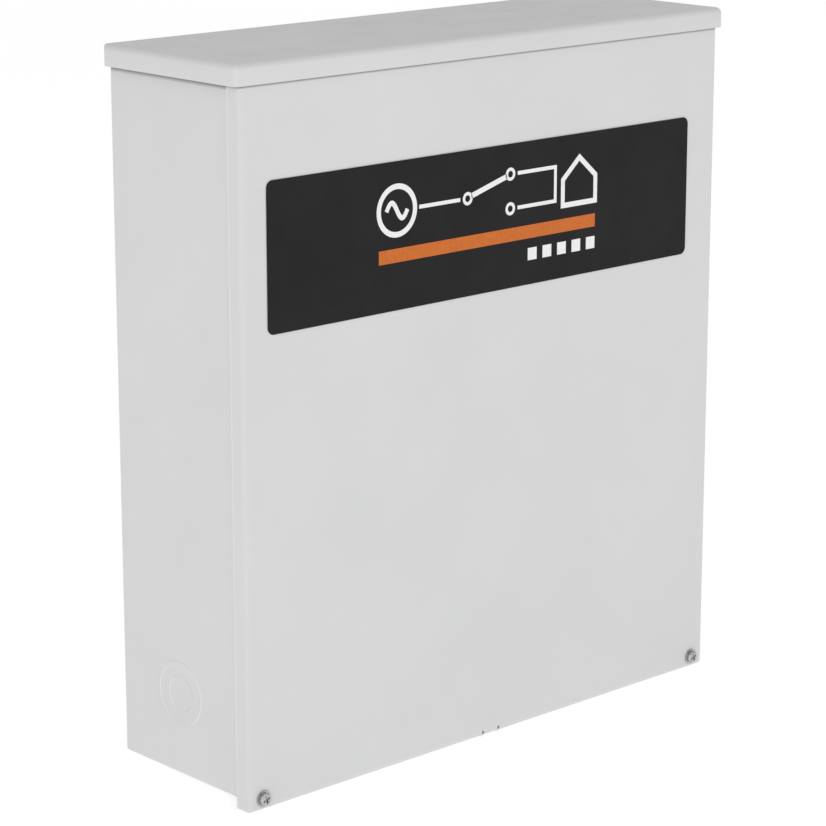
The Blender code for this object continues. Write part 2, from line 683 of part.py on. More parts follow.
def fuses():
    x, z = LEFT_ROW, FUSES_Z
    front = MOUNT_Y - 0.012         # the block's face, without its clip rails
    half = 0.038
    rail_height = 0.016
    pitch = 0.025
    radius, length = 0.0051, 0.038
    seat = radius + 0.0004
    block = box("fuse_block", (x - half, front, z - 0.030), (x + half, MOUNT_Y, z + 0.030), BLACK)
    for way in (-1, 1):
        low, high = sorted((z + way * 0.013, z + way * 0.019))
        join(block, box("clip_rail", (x - half + 0.001, front - rail_height, low),
                        (x + half - 0.001, front + 0.001, high)))
    for number in range(3):
        centre = Vector((x + (number - 1) * pitch, front - 0.009, z))
        cut(block, rod("clip_seat", centre, UP, seat, 0.05, sides=20))
        cut(block, box("clip_mouth", centre - Vector((seat, 2 * PAST, 0.025)),
                       centre + Vector((seat, 0, 0.025))))
        rod(f"fuse_{number + 1}", centre, UP, radius, length, GLASS_TUBE, 20)


def terminal_block():
    """Control terminal strip: a base with a row of upright barriers."""
    x, top, pitch = LEFT_ROW, STRIP_TOP, STRIP_PITCH
    base = 0.010
    wall_half = 0.0009
    strip = box("terminal_block", (x - 0.014, MOUNT_Y - base, top - STRIP_WAYS * pitch - 0.002),
                (x + 0.014, MOUNT_Y, top), BLACK)
    for index in range(STRIP_WAYS + 1):
        z = top - 0.001 - index * pitch
        join(strip, box("strip_barrier", (x - 0.0135, MOUNT_Y - 0.018, z - wall_half),
                        (x + 0.0135, MOUNT_Y - base + 0.001, z + wall_half)))


def wire_bars():
    """Neutral bar on its insulator and the ground bar, both with bores for wires."""
    z = BARS_Z
    left, right = 0.095, 0.215
    foot = MOUNT_Y - 0.020
    box("neutral_insulator", (left, foot, z - 0.012), (right, MOUNT_Y, z + 0.012), CREAM)
    neutral = box("neutral_bar", (left, foot - GAP - 0.022, z - 0.014), (right, foot - GAP, z + 0.014),
                  ALUMINIUM)
    for index in range(4):
        x = left + 0.016 + index * 0.0293
        cut(neutral, rod("neutral_bore", (x, foot - GAP - 0.012, z), UP, WIRE_BORE, 0.05, sides=20))
    left, right = -0.190, -0.080
    depth = 0.014
    ground = box("ground_bar", (left, MOUNT_Y - depth, z - 0.008), (right, MOUNT_Y, z + 0.008), ALUMINIUM)
    for index in range(6):
        x = left + 0.0125 + index * 0.017
        cut(ground, rod("ground_bore", (x, MOUNT_Y - depth / 2, z), UP, 0.0035, 0.05, sides=12))


def manual_handle():
    """Lever for moving the contacts by hand, kept in an open clip on the plate."""
    z, left, right = HANDLE_Z, -0.060, 0.150
    split = 0.070                   # where the grip starts
    depth = MOUNT_Y - 0.016
    radius = 0.007
    room = radius + 0.0005
    clip_left, clip_right = 0.006, 0.066
    clip = box("handle_clip", (clip_left, MOUNT_Y - 0.024, z - 0.013), (clip_right, MOUNT_Y, z + 0.013),
               BLACK)
    cut(clip, rod("clip_seat", ((clip_left + clip_right) / 2, depth, z), (1, 0, 0), room, 0.1, sides=20))
    cut(clip, box("clip_mouth", (clip_left - PAST, depth - 2 * PAST, z - room),
                  (clip_right + PAST, depth, z + room)))
    bar = rod("manual_handle", ((left + split) / 2, depth, z), (1, 0, 0), radius, split - left, ZINC, 20)
    square = 0.0045                 # half the socket's width, its depth is 14 mm
    cut(bar, box("handle_socket", (left - PAST, depth - square, z - square),
                 (left + 0.014, depth + square, z + square)))
    rod("handle_grip", ((split + GAP + right) / 2, depth, z), (1, 0, 0), 0.009,
        right - split - GAP, RED, 20)


def control_harness():
    """Bundle of control wires from the terminal strip up to the fuse block."""
    depth = MOUNT_Y - WIRE_RADIUS - 0.0015
    corner = 0.012                  # radius of its two bends
    trunk = -0.250
    start = (LEFT_ROW - 0.0143 - GAP, -0.025)
    end = (-0.205, 0.170)
    points = [(start[0], depth, start[1])]
    turns = [math.radians(90 * index / 6) for index in range(7)]
    for angle in turns:
        points.append((trunk + corner - corner * math.sin(angle), depth,
                       start[1] + corner - corner * math.cos(angle)))
    for angle in turns:
        points.append((trunk + corner - corner * math.cos(angle), depth,
                       end[1] - corner + corner * math.sin(angle)))
    points.append((end[0], depth, end[1]))
    curve = bpy.data.curves.new("control_harness", "CURVE")
    curve.dimensions = "3D"
    curve.bevel_depth = WIRE_RADIUS
    curve.bevel_resolution = 2
    curve.use_fill_caps = True
    line = curve.splines.new("POLY")
    line.points.add(len(points) - 1)
    for knot, point in zip(line.points, points):
        knot.co = (*point, 1)
    made = bpy.data.objects.new("control_harness", curve)
    PARTS.objects.link(made)
    curve.materials.append(WIRE)


enclosure()
drip_cap()
front_cover()
cover_seal()
nameplate()
cover_fasteners()
knockout()
mounting_plate()
mechanism_base()
fixed_contacts()
load_terminals()
contact_carrier()
coil_sets()
plunger_spring()
relay()
fuses()
terminal_block()
wire_bars()
manual_handle()
control_harness()
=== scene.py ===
"""Looks of the automatic transfer switch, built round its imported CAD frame.

Frame: metres, +Z up, the front faces -Y, the rear face lies at y = 0 against the wall.
"""
import json
import math

import bmesh
import bpy
from mathutils import Matrix, Vector

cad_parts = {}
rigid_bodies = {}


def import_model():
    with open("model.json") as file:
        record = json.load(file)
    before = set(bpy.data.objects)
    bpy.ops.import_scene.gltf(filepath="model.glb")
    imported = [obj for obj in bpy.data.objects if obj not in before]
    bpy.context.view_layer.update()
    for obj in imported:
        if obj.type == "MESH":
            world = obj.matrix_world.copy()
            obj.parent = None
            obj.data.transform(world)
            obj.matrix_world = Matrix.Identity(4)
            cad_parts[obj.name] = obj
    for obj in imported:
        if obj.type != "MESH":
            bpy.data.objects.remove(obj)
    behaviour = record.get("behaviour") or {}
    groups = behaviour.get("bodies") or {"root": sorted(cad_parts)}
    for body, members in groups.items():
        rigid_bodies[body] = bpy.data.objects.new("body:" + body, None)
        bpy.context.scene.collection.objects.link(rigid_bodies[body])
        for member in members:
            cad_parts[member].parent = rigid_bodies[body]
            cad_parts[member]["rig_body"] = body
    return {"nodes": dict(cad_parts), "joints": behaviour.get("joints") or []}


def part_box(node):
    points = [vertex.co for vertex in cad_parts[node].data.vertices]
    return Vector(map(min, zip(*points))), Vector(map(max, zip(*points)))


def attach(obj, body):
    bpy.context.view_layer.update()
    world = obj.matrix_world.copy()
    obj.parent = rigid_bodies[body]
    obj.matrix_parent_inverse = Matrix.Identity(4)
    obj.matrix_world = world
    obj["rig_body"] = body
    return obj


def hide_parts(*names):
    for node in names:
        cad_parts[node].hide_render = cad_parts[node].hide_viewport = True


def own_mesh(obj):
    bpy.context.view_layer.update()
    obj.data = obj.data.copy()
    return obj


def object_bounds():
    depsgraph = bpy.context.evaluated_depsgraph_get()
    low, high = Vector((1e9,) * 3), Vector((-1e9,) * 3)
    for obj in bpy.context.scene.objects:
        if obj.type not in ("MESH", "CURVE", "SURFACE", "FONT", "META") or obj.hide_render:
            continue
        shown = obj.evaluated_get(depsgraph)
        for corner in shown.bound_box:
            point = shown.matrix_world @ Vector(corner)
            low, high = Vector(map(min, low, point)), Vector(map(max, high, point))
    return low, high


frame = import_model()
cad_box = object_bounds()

# ---------------------------------------------------------------- sizes
SHEET = 0.0015                  # sheet steel of the enclosure and its cover
CAP_ROUND = 0.006               # outer radius of the drip cap's bends
COVER_BEND = 0.0045
EDGE_IN = 0.0006                # middle of a knockout's raised edge, in from its rim
RELIEF = (0.003, 0.0055)        # relief notch in the cover's lower edge, width and height
RELIEF_PITCH = 0.021
SCREW_HOLE = 0.0028
PLATE_CORNER = 0.007            # radius of the nameplate's corners
PRINT = 0.00006                 # thickness of the printed ink
WIRE = 0.00105                  # outer radius of a control wire
TERMINAL_PITCH = 0.010
TERMINAL_ROWS = 12
LUG_SCREW = (0.0046, 0.0024)    # set screw of a lug, radius and height
LUG_SCREW_SEAT = 0.0018         # its seat, behind the lug's face
PAST = 0.01                     # how far a cutter runs past what it cuts
UP = Vector((0, 0, 1))
OUT = Vector((0, -1, 0))
ACROSS = Vector((1, 0, 0))
JOINTS = {joint["name"]: joint for joint in frame["joints"]}
SHAFT = Vector(JOINTS["contact_transfer"]["pos_m"])
SWING = math.radians(JOINTS["contact_transfer"]["range_deg"][1] / 2)


def low(node):
    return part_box(node)[0]


def high(node):
    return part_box(node)[1]


def middle(node):
    return (low(node) + high(node)) / 2


# ---------------------------------------------------------------- mesh helpers
def link(name, data):
    made = bpy.data.objects.new(name, data)
    bpy.context.scene.collection.objects.link(made)
    return made


def from_bmesh(name, tool):
    mesh = bpy.data.meshes.new(name)
    tool.to_mesh(mesh)
    tool.free()
    return link(name, mesh)


def baked(piece):
    """Turn a piece's modifiers, or a curve's sweep, into its own plain mesh."""
    bpy.context.view_layer.update()
    graph = bpy.context.evaluated_depsgraph_get()
    mesh = bpy.data.meshes.new_from_object(piece.evaluated_get(graph))
    if piece.type == "MESH":
        piece.modifiers.clear()
        piece.data = mesh
        return piece
    name = piece.name
    place = piece.matrix_world.copy()
    bpy.data.objects.remove(piece)
    mesh.transform(place)
    return link(name, mesh)


def smoothed(piece, angle=35):
    piece.data.shade_smooth()
    piece.data.set_sharp_from_angle(angle=math.radians(angle))
    return piece


def rounded(piece, width, segments=3, angle=35):
    smoothed(piece, angle)
    bevel = piece.modifiers.new("rounding", "BEVEL")
    bevel.width = width
    bevel.segments = segments
    bevel.limit_method = "ANGLE"
    bevel.angle_limit = math.radians(angle)
    bevel.harden_normals = True
    return piece


def block(name, corner_low, corner_high, width=0.0, segments=3):
    corner_low = Vector(corner_low)
    corner_high = Vector(corner_high)
    tool = bmesh.new()
    bmesh.ops.create_cube(tool, size=1)
    bmesh.ops.scale(tool, vec=corner_high - corner_low, verts=tool.verts)
    bmesh.ops.translate(tool, vec=(corner_low + corner_high) / 2, verts=tool.verts)
    made = from_bmesh(name, tool)
    if width:
        rounded(made, width, segments)
    return made


def turned(name, profile, centre, axis, steps=48, closed=False):
    """Turn (radius, height) points about an axis; an open profile runs from the top down."""
    tool = bmesh.new()
    corners = [tool.verts.new((radius, 0, height)) for radius, height in profile]
    pairs = list(zip(corners, corners[1:]))
    if closed:
        pairs.append((corners[-1], corners[0]))
    edges = [tool.edges.new(pair) for pair in pairs]
    bmesh.ops.spin(tool, geom=corners + edges, cent=(0, 0, 0), axis=(0, 0, 1), dvec=(0, 0, 0),
                   angle=2 * math.pi, steps=steps, use_merge=True)
    bmesh.ops.remove_doubles(tool, verts=tool.verts, dist=1e-7)
    bmesh.ops.dissolve_degenerate(tool, dist=1e-7, edges=tool.edges)
    bmesh.ops.recalc_face_normals(tool, faces=tool.faces)
    turn = UP.rotation_difference(Vector(axis)).to_matrix().to_4x4()
    bmesh.ops.transform(tool, matrix=Matrix.Translation(centre) @ turn, verts=tool.verts)
    return smoothed(from_bmesh(name, tool))


def sweep(name, points, radius):
    """A round wire through points, as a mesh with closed ends."""
    curve = bpy.data.curves.new(name, "CURVE")
    curve.dimensions = "3D"
    curve.bevel_depth = radius
    curve.bevel_resolution = 2
    curve.use_fill_caps = True
    line = curve.splines.new("POLY")
    line.points.add(len(points) - 1)
    for knot, point in zip(line.points, points):
        knot.co = (*point, 1)
    made = baked(link(name, curve))
    tool = bmesh.new()
    tool.from_mesh(made.data)
    bmesh.ops.remove_doubles(tool, verts=tool.verts, dist=1e-6)
    tool.to_mesh(made.data)
    tool.free()
    return smoothed(made, 50)


def cut(piece, *cutters):
    """Take the cutters' shapes out of a piece, and remove them."""
    for cutter in cutters:
        step = piece.modifiers.new("cut", "BOOLEAN")
        step.operation = "DIFFERENCE"
        step.solver = "EXACT"
        step.object = cutter
    baked(piece)
    for cutter in cutters:
        bpy.data.objects.remove(cutter)
    return piece


def joined(name, pieces):
    """One object from several meshes that stay separate bodies in it."""
    tool = bmesh.new()
    for piece in pieces:
        baked(piece)
        tool.from_mesh(piece.data)
        bpy.data.objects.remove(piece)
    return smoothed(from_bmesh(name, tool))


def refined(node, width=0.0005, segments=2):
    """A copy of a CAD node with its flat faces merged and its edges rounded."""
    tool = bmesh.new()
    tool.from_mesh(frame["nodes"][node].data)
    bmesh.ops.remove_doubles(tool, verts=tool.verts, dist=1e-6)
    bmesh.ops.dissolve_limit(tool, angle_limit=math.radians(0.5), verts=tool.verts,
                             edges=tool.edges)
    return rounded(from_bmesh(node + "_finish", tool), width, segments)


def thicken(piece, thickness):
    shell = piece.modifiers.new("sheet", "SOLIDIFY")
    shell.thickness = thickness
    shell.offset = -1
    shell.use_even_offset = True
    return baked(piece)


def folded_shell(name, corner_low, corner_high, open_sides, bend):
    """A sheet-metal box: its outside surface less the open sides, bent and thickened."""
    tool = bmesh.new()
    bmesh.ops.create_cube(tool, size=1)
    bmesh.ops.scale(tool, vec=corner_high - corner_low, verts=tool.verts)
    tool.normal_update()
    opened = [face for face in tool.faces for side in open_sides
              if face.normal.dot(Vector(side)) > 0.9]
    bmesh.ops.delete(tool, geom=opened, context="FACES")
    bmesh.ops.translate(tool, vec=(corner_low + corner_high) / 2, verts=tool.verts)
    made = rounded(from_bmesh(name, tool), bend, 8)
    made.modifiers["rounding"].harden_normals = False
    return thicken(made, SHEET)


def settle(piece, look, body, slot, *nodes):
    """Give a finished piece its material and body, and hide the CAD nodes it stands for; the slot is not
    used.
    """
    baked(piece)
    piece.data.materials.clear()
    piece.data.materials.append(look)
    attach(piece, body)
    if nodes:
        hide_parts(*nodes)
    return piece


# ---------------------------------------------------------------- materials
def add_node(look, kind, **values):
    """Add a shader node and set its inputs, written with _ for a space."""
    made = look.node_tree.nodes.new(kind)
    for name, value in values.items():
        made.inputs[name.replace("_", " ")].default_value = value
    return made


def connect(look, source, output, target, socket):
    look.node_tree.links.new(source.outputs[output], target.inputs[socket])


def coordinates(look, stretch=(1, 1, 1)):
    """Places on the object in metres, stretched where a grain runs one way."""
    place = add_node(look, "ShaderNodeTexCoord")
    scaled = add_node(look, "ShaderNodeMapping", Scale=stretch)
    connect(look, place, "Object", scaled, "Vector")
    return scaled


def noise(look, place, scale, detail=3.0):
    made = add_node(look, "ShaderNodeTexNoise", Scale=scale, Detail=detail, Roughness=0.55)
    connect(look, place, "Vector", made, "Vector")
    return made


def between(look, source, output, low_value, high_value, start=0.35, end=0.65):
    """Map a texture to a range of values."""
    made = add_node(look, "ShaderNodeMapRange", From_Min=start, From_Max=end, To_Min=low_value,
                    To_Max=high_value)
    connect(look, source, output, made, "Value")
    return made


def tinted(look, source, output, colours, start=0.35, end=0.65):
    """A ramp of colours spread evenly over a texture's range."""
    ramp = add_node(look, "ShaderNodeValToRGB")
    stops = ramp.color_ramp.elements
    while len(stops) < len(colours):
        stops.new(0.5)
    for index, (stop, colour) in enumerate(zip(stops, colours)):
        stop.position = start + (end - start) * index / (len(colours) - 1)
        stop.color = (*colour, 1)
    connect(look, source, output, ramp, "Fac")
    return ramp


def bumped(look, source, output, distance, strength, below=None):
    made = add_node(look, "ShaderNodeBump", Strength=strength, Distance=distance)
    connect(look, source, output, made, "Height")
    if below:
        connect(look, below, "Normal", made, "Normal")
    return made


def surface(name, colours, roughness, metallic=0.0, mottle=30.0, grain=1200.0, depth=0.00004,
            strength=0.35, stretch=(1, 1, 1), specular=0.5, coat=0.0, relief=None):
    """A finished material: mottled colour, uneven roughness and a fine grain.

    relief is an extra (scale, depth) of slow waves in the surface.
    """
    look = bpy.data.materials.new(name)
    look.use_nodes = True
    shader = look.node_tree.nodes["Principled BSDF"]
    shader.inputs["Metallic"].default_value = metallic
    shader.inputs["Specular IOR Level"].default_value = specular
    shader.inputs["Coat Weight"].default_value = coat
    place = coordinates(look, stretch)
    patches = noise(look, place, mottle)
    fine = noise(look, place, grain, 2.0)
    connect(look, tinted(look, patches, "Fac", colours), "Color", shader, "Base Color")
    smears = noise(look, place, mottle * 3.1, 4.0)
    connect(look, between(look, smears, "Fac", *roughness), "Result", shader, "Roughness")
    below = None
    if relief:
        waves = noise(look, place, relief[0], 2.0)
        below = bumped(look, waves, "Fac", relief[1], 1.0)
    connect(look, bumped(look, fine, "Fac", depth, strength, below), "Normal", shader, "Normal")
    return look


def powder_coat(name, painted_light_bands=(), clear_behind=0.01):
    """Light-grey textured powder coat. Painted light bands are (axis, edge, reach, factor): the coat's
    colour is multiplied by factor at the edge, a painted shade where factor is below 1 and a painted
    highlight where it is above 1, and is back to normal after reach. It is normal everywhere behind
    clear_behind.
    """
    look = surface(name, [(0.652, 0.654, 0.656), (0.668, 0.669, 0.670)], (0.30, 0.41), mottle=9.0,
                   grain=900.0, depth=0.00009, strength=0.45, specular=0.45, relief=(240.0, 0.00002))
    # each band paints shade where its factor is below 1 and a highlight where it is above 1
    for axis, edge, reach, factor in painted_light_bands:
        spread = add_node(look, "ShaderNodeSeparateXYZ")
        connect(look, coordinates(look), "Vector", spread, "Vector")
        change = between(look, spread, axis, 0.0, factor - 1.0, edge + reach, edge + reach * 0.35)
        shown = between(look, spread, "Y", 1.0, 0.0, clear_behind - 0.001, clear_behind)
        share = add_node(look, "ShaderNodeMath")
        share.operation = "MULTIPLY_ADD"
        share.inputs[2].default_value = 1.0
        connect(look, change, "Result", share, 0)
        connect(look, shown, "Result", share, 1)
        scale_colour(look, share, "Value")
    return look


def scale_colour(look, source, output):
    """Multiply what colours the shader by a value."""
    shader = look.node_tree.nodes["Principled BSDF"]
    current = shader.inputs["Base Color"].links[0].from_socket
    product = add_node(look, "ShaderNodeVectorMath")
    product.operation = "SCALE"
    look.node_tree.links.new(current, product.inputs[0])
    connect(look, source, output, product, "Scale")
    connect(look, product, "Vector", shader, "Base Color")


def arithmetic(look, operation, source, output, value=None):
    made = add_node(look, "ShaderNodeMath")
    made.operation = operation
    connect(look, source, output, made, 0)
    if value is not None:
        made.inputs[1].default_value = value
    return made


def knockout_painted_highlights(name):
    """Powder coat with a painted highlight along the knockout's ring and disc edges.

    The ring's painted highlight shows towards the front and the rear, the disc's towards the rear only.
    """
    look = powder_coat(name)
    centre = middle("knockout_disc_left")
    centre.x = low("enclosure_body").x
    offset = add_node(look, "ShaderNodeVectorMath")
    offset.operation = "SUBTRACT"
    offset.inputs[1].default_value = centre
    connect(look, coordinates(look), "Vector", offset, 0)
    distance = add_node(look, "ShaderNodeVectorMath")
    distance.operation = "LENGTH"
    connect(look, offset, "Vector", distance, 0)
    spread = add_node(look, "ShaderNodeSeparateXYZ")
    connect(look, offset, "Vector", spread, "Vector")
    both_ways = arithmetic(look, "ABSOLUTE", spread, "Y")
    # each edge gets a painted highlight: brighter colour near its radius, strongest towards the sides
    for node, sideways, output in (("knockout_ring_left", both_ways, "Value"),
                                   ("knockout_disc_left", spread, "Y")):
        radius = (high(node).z - low(node).z) / 2
        off_edge = arithmetic(look, "SUBTRACT", distance, "Value", radius - EDGE_IN)
        size = arithmetic(look, "ABSOLUTE", off_edge, "Value")
        near = between(look, size, "Value", 0.15, 0.0, 0.0003, 0.0013)
        some = between(look, sideways, output, 0.0, 1.0, 0.35 * radius, 0.85 * radius)
        amount = add_node(look, "ShaderNodeMath")
        amount.operation = "MULTIPLY_ADD"
        amount.inputs[2].default_value = 1.0
        connect(look, near, "Result", amount, 0)
        connect(look, some, "Result", amount, 1)
        scale_colour(look, amount, "Value")
    return look


def cellular(look, place, scale):
    made = add_node(look, "ShaderNodeTexVoronoi", Scale=scale)
    connect(look, place, "Vector", made, "Vector")
    return made


def galvanised(name):
    """Zinc with the soft-edged crystals of hot-dip spangle."""
    look = surface(name, [(0.50, 0.51, 0.53), (0.60, 0.61, 0.62)], (0.30, 0.42), 1.0)
    shader = look.node_tree.nodes["Principled BSDF"]
    place = coordinates(look)
    warp = noise(look, place, 60.0)
    bend = add_node(look, "ShaderNodeVectorMath")
    bend.operation = "SCALE"
    bend.inputs["Scale"].default_value = 0.012
    connect(look, warp, "Color", bend, "Vector")
    shifted = add_node(look, "ShaderNodeVectorMath")
    shifted.operation = "ADD"
    connect(look, place, "Vector", shifted, 0)
    connect(look, bend, "Vector", shifted, 1)
    crystals = cellular(look, shifted, 120.0)
    bright = add_node(look, "ShaderNodeSeparateColor")
    connect(look, crystals, "Color", bright, "Color")
    greys = [(0.47, 0.48, 0.50), (0.53, 0.54, 0.56), (0.59, 0.60, 0.61)]
    connect(look, tinted(look, bright, "Red", greys, 0.1, 0.9), "Color", shader, "Base Color")
    connect(look, between(look, bright, "Green", 0.26, 0.46, 0.0, 1.0), "Result", shader, "Roughness")
    return look


def foam(name):
    """Closed-cell rubber foam: dark, matt and pitted."""
    look = surface(name, [(0.028, 0.028, 0.029), (0.055, 0.055, 0.054)], (0.85, 0.97))
    shader = look.node_tree.nodes["Principled BSDF"]
    pits = cellular(look, coordinates(look), 1500.0)
    connect(look, bumped(look, pits, "Distance", 0.0003, 0.8), "Normal", shader, "Normal")
    return look


def wound(name):
    """Enamelled wire under a coat of varnish, darker where the varnish pooled."""
    return surface(name, [(0.25, 0.075, 0.02), (0.50, 0.20, 0.06)], (0.22, 0.42), 0.85,
                   mottle=110.0, coat=0.4)


PAINT = powder_coat("grey_powder_coat")
# box coat with painted shade: the walls are darkened just under the drip cap's lip, where its shadow falls
BOX_PAINT = powder_coat("grey_powder_coat_box_painted_shade", [("Z", low("drip_cap").z, -0.0055, 0.36)],
                        high("enclosure_body").y - 0.002)
# cover coat with painted shade just under the drip cap's lip and a painted highlight along the rear edge
# of its side flanges
COVER_PAINT = powder_coat("grey_powder_coat_cover_painted_light", [("Z", low("drip_cap").z, -0.0026, 0.45),
                                                     ("Y", high("front_cover").y, -0.0024, 1.11)])
KNOCKOUT_PAINT = knockout_painted_highlights("grey_powder_coat_knockout_painted_highlight")
ZINC = surface("bright_zinc_plate", [(0.36, 0.37, 0.39), (0.45, 0.45, 0.45), (0.52, 0.51, 0.48)],
               (0.16, 0.30), 1.0, mottle=140.0, grain=2600.0, depth=0.00003)
SPANGLE = galvanised("galvanised_sheet")
STEEL = surface("oiled_steel", [(0.33, 0.33, 0.34), (0.46, 0.46, 0.47)], (0.30, 0.48), 1.0,
                mottle=60.0, stretch=(1, 1, 9))
ALUMINIUM = surface("extruded_aluminium", [(0.66, 0.67, 0.68), (0.75, 0.76, 0.77)], (0.30, 0.45),
                    1.0, mottle=45.0, stretch=(9, 1, 1), grain=1400.0)
COPPER = surface("copper_blade", [(0.62, 0.28, 0.17), (0.80, 0.43, 0.29)], (0.24, 0.42), 1.0,
                 mottle=75.0, stretch=(6, 1, 1))
SILVER = surface("silver_contact", [(0.72, 0.71, 0.69), (0.86, 0.85, 0.83)], (0.25, 0.45), 1.0,
                 mottle=260.0)
BRASS = surface("tinned_brass", [(0.66, 0.52, 0.28), (0.76, 0.63, 0.38)], (0.22, 0.38), 1.0,
                mottle=150.0)
BLACK = surface("black_thermoset", [(0.018, 0.018, 0.019), (0.034, 0.034, 0.036)], (0.42, 0.58),
                mottle=55.0, grain=1500.0, depth=0.0001)
CREAM = surface("cream_thermoset", [(0.56, 0.51, 0.39), (0.66, 0.61, 0.49)], (0.38, 0.52),
                mottle=50.0, grain=1500.0, depth=0.00008)
CERAMIC = surface("fuse_ceramic", [(0.72, 0.70, 0.64), (0.82, 0.80, 0.75)], (0.22, 0.34),
                  mottle=120.0, coat=0.3)
RED = surface("red_vinyl", [(0.36, 0.018, 0.012), (0.50, 0.035, 0.022)], (0.40, 0.56),
              mottle=90.0, grain=1800.0, depth=0.00012)
BLUE = surface("blue_wire_jacket", [(0.020, 0.045, 0.16), (0.030, 0.065, 0.22)], (0.36, 0.48),
               mottle=120.0)
BROWN = surface("brown_wire_jacket", [(0.10, 0.035, 0.015), (0.15, 0.055, 0.022)], (0.36, 0.48),
                mottle=120.0)
WHITE_WIRE = surface("white_wire_jacket", [(0.62, 0.61, 0.57), (0.74, 0.73, 0.69)], (0.36, 0.48),
                     mottle=120.0)
WINDING = wound("varnished_winding")
FOAM = foam("foam_rubber")
FILM = surface("black_plate_film", [(0.0118, 0.0107, 0.0113), (0.0152, 0.0138, 0.0145)],
               (0.40, 0.50), mottle=16.0, grain=2200.0, depth=0.00003, strength=0.3, specular=0.12)
WHITE_INK = surface("white_ink", [(0.80, 0.80, 0.80), (0.88, 0.88, 0.88)], (0.45, 0.6),
                    mottle=420.0)
ORANGE_INK = surface("orange_ink", [(0.56, 0.139, 0.019), (0.61, 0.156, 0.024)], (0.42, 0.55),
                     mottle=300.0, specular=0.2)


# ---------------------------------------------------------------- enclosure
def drip_cap():
    """The lid: a pan with rounded bends whose side lips curl in behind the box's rear corners."""
    corner_low, corner_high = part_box("drip_cap")
    tool = bmesh.new()
    bmesh.ops.create_cube(tool, size=1)
    bmesh.ops.scale(tool, vec=corner_high - corner_low, verts=tool.verts)
    bmesh.ops.translate(tool, vec=(corner_low + corner_high) / 2, verts=tool.verts)
    tool.normal_update()
    bmesh.ops.delete(tool, geom=[face for face in tool.faces if face.normal.z < -0.9], context="FACES")
    bends = []
    for edge in tool.edges:
        centre = (edge.verts[0].co + edge.verts[1].co) / 2
        level = abs(edge.verts[0].co.z - edge.verts[1].co.z) < SHEET
        at_lip = level and centre.z < corner_low.z + CAP_ROUND
        at_rear_top = centre.y > corner_high.y - SHEET and centre.z > corner_high.z - SHEET
        if not at_lip and not at_rear_top:
            bends.append(edge)
    bmesh.ops.bevel(tool, geom=bends, offset=CAP_ROUND, segments=8, profile=0.5, affect="EDGES")
    cap = from_bmesh("drip_cap_finish", tool)
    thicken(cap, SHEET)
    half = high("enclosure_body").x + 0.0008
    cut(cap, block("rear_opening", (-half, corner_high.y - 0.004, corner_low.z - PAST),
                   (half, corner_high.y + PAST, corner_high.z - SHEET)))
    settle(rounded(cap, 0.0004, 3), PAINT, "root", "grey_paint", "drip_cap")


def front_cover():
    corner_low, corner_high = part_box("front_cover")
    cap_lip = low("drip_cap").z
    cover = folded_shell("front_cover_finish", corner_low, corner_high, [(0, 0, 1), (0, 1, 0)],
                         COVER_BEND)
    waste = []
    for side in (-1, 1):
        edge = side * corner_high.x
        across = sorted((edge - side * 0.006, edge + side * PAST))
        waste.append(block("shoulder", (across[0], corner_low.y - PAST, cap_lip - 0.0005),
                           (across[1], corner_high.y + PAST, corner_high.z + PAST)))
        notch = side * RELIEF_PITCH / 2
        waste.append(block("notch", (notch - RELIEF[0] / 2, corner_low.y - PAST, corner_low.z - PAST),
                           (notch + RELIEF[0] / 2, corner_low.y + 0.006, corner_low.z + RELIEF[1])))
    for word in ("left", "right"):
        spot = middle("cover_screw_" + word)
        hole = [(0, PAST), (SCREW_HOLE, PAST), (SCREW_HOLE, -PAST), (0, -PAST)]
        waste.append(turned("screw_hole", hole, (spot.x, corner_low.y, spot.z), OUT, 32))
    cut(cover, *waste)
    settle(rounded(cover, 0.0004, 3), COVER_PAINT, "front_cover", "grey_paint", "front_cover")


def enclosure_body():
    settle(refined("enclosure_body", 0.0003, 2), BOX_PAINT, "root", "grey_paint", "enclosure_body")
    settle(refined("cover_gasket", 0.0006, 3), FOAM, "root", "foam_rubber", "cover_gasket")
    for word in ("left", "right"):
        settle(refined("weld_nut_" + word, 0.0004), ZINC, "root", "zinc", "weld_nut_" + word)


def knockout():
    """Concentric knockout: a disc in a ring, each with the soft shoulder of a sheared edge."""
    centre = middle("knockout_disc_left")
    outer = (high("knockout_ring_left").z - low("knockout_ring_left").z) / 2
    inner = (high("knockout_disc_left").z - low("knockout_disc_left").z) / 2
    spot = Vector((low("enclosure_body").x, centre.y, centre.z))
    bead = 0.00016
    hole = outer + 0.0003
    ring = [(inner + 0.0013, 0), (inner + 0.0022, 0), (outer - 0.0016, 0), (outer - 0.0010, bead * 0.7),
            (outer - EDGE_IN, bead), (outer - 0.0001, bead * 0.5), (hole, -0.0001), (hole, -SHEET),
            (inner + 0.00005, -SHEET), (inner + 0.00005, -0.0001), (inner + 0.0005, 0)]
    settle(turned("knockout_ring_finish", ring, spot, -ACROSS, 96, closed=True), KNOCKOUT_PAINT, "root",
           "grey_paint", "knockout_ring_left")
    disc = [(0, 0), (inner - 0.0016, 0), (inner - 0.0010, bead * 0.7), (inner - EDGE_IN, bead),
            (inner - 0.0001, bead * 0.5), (inner, -0.0001), (inner, -SHEET), (0, -SHEET)]
    settle(turned("knockout_disc_finish", disc, spot, -ACROSS, 96), KNOCKOUT_PAINT, "root",
           "grey_paint", "knockout_disc_left")


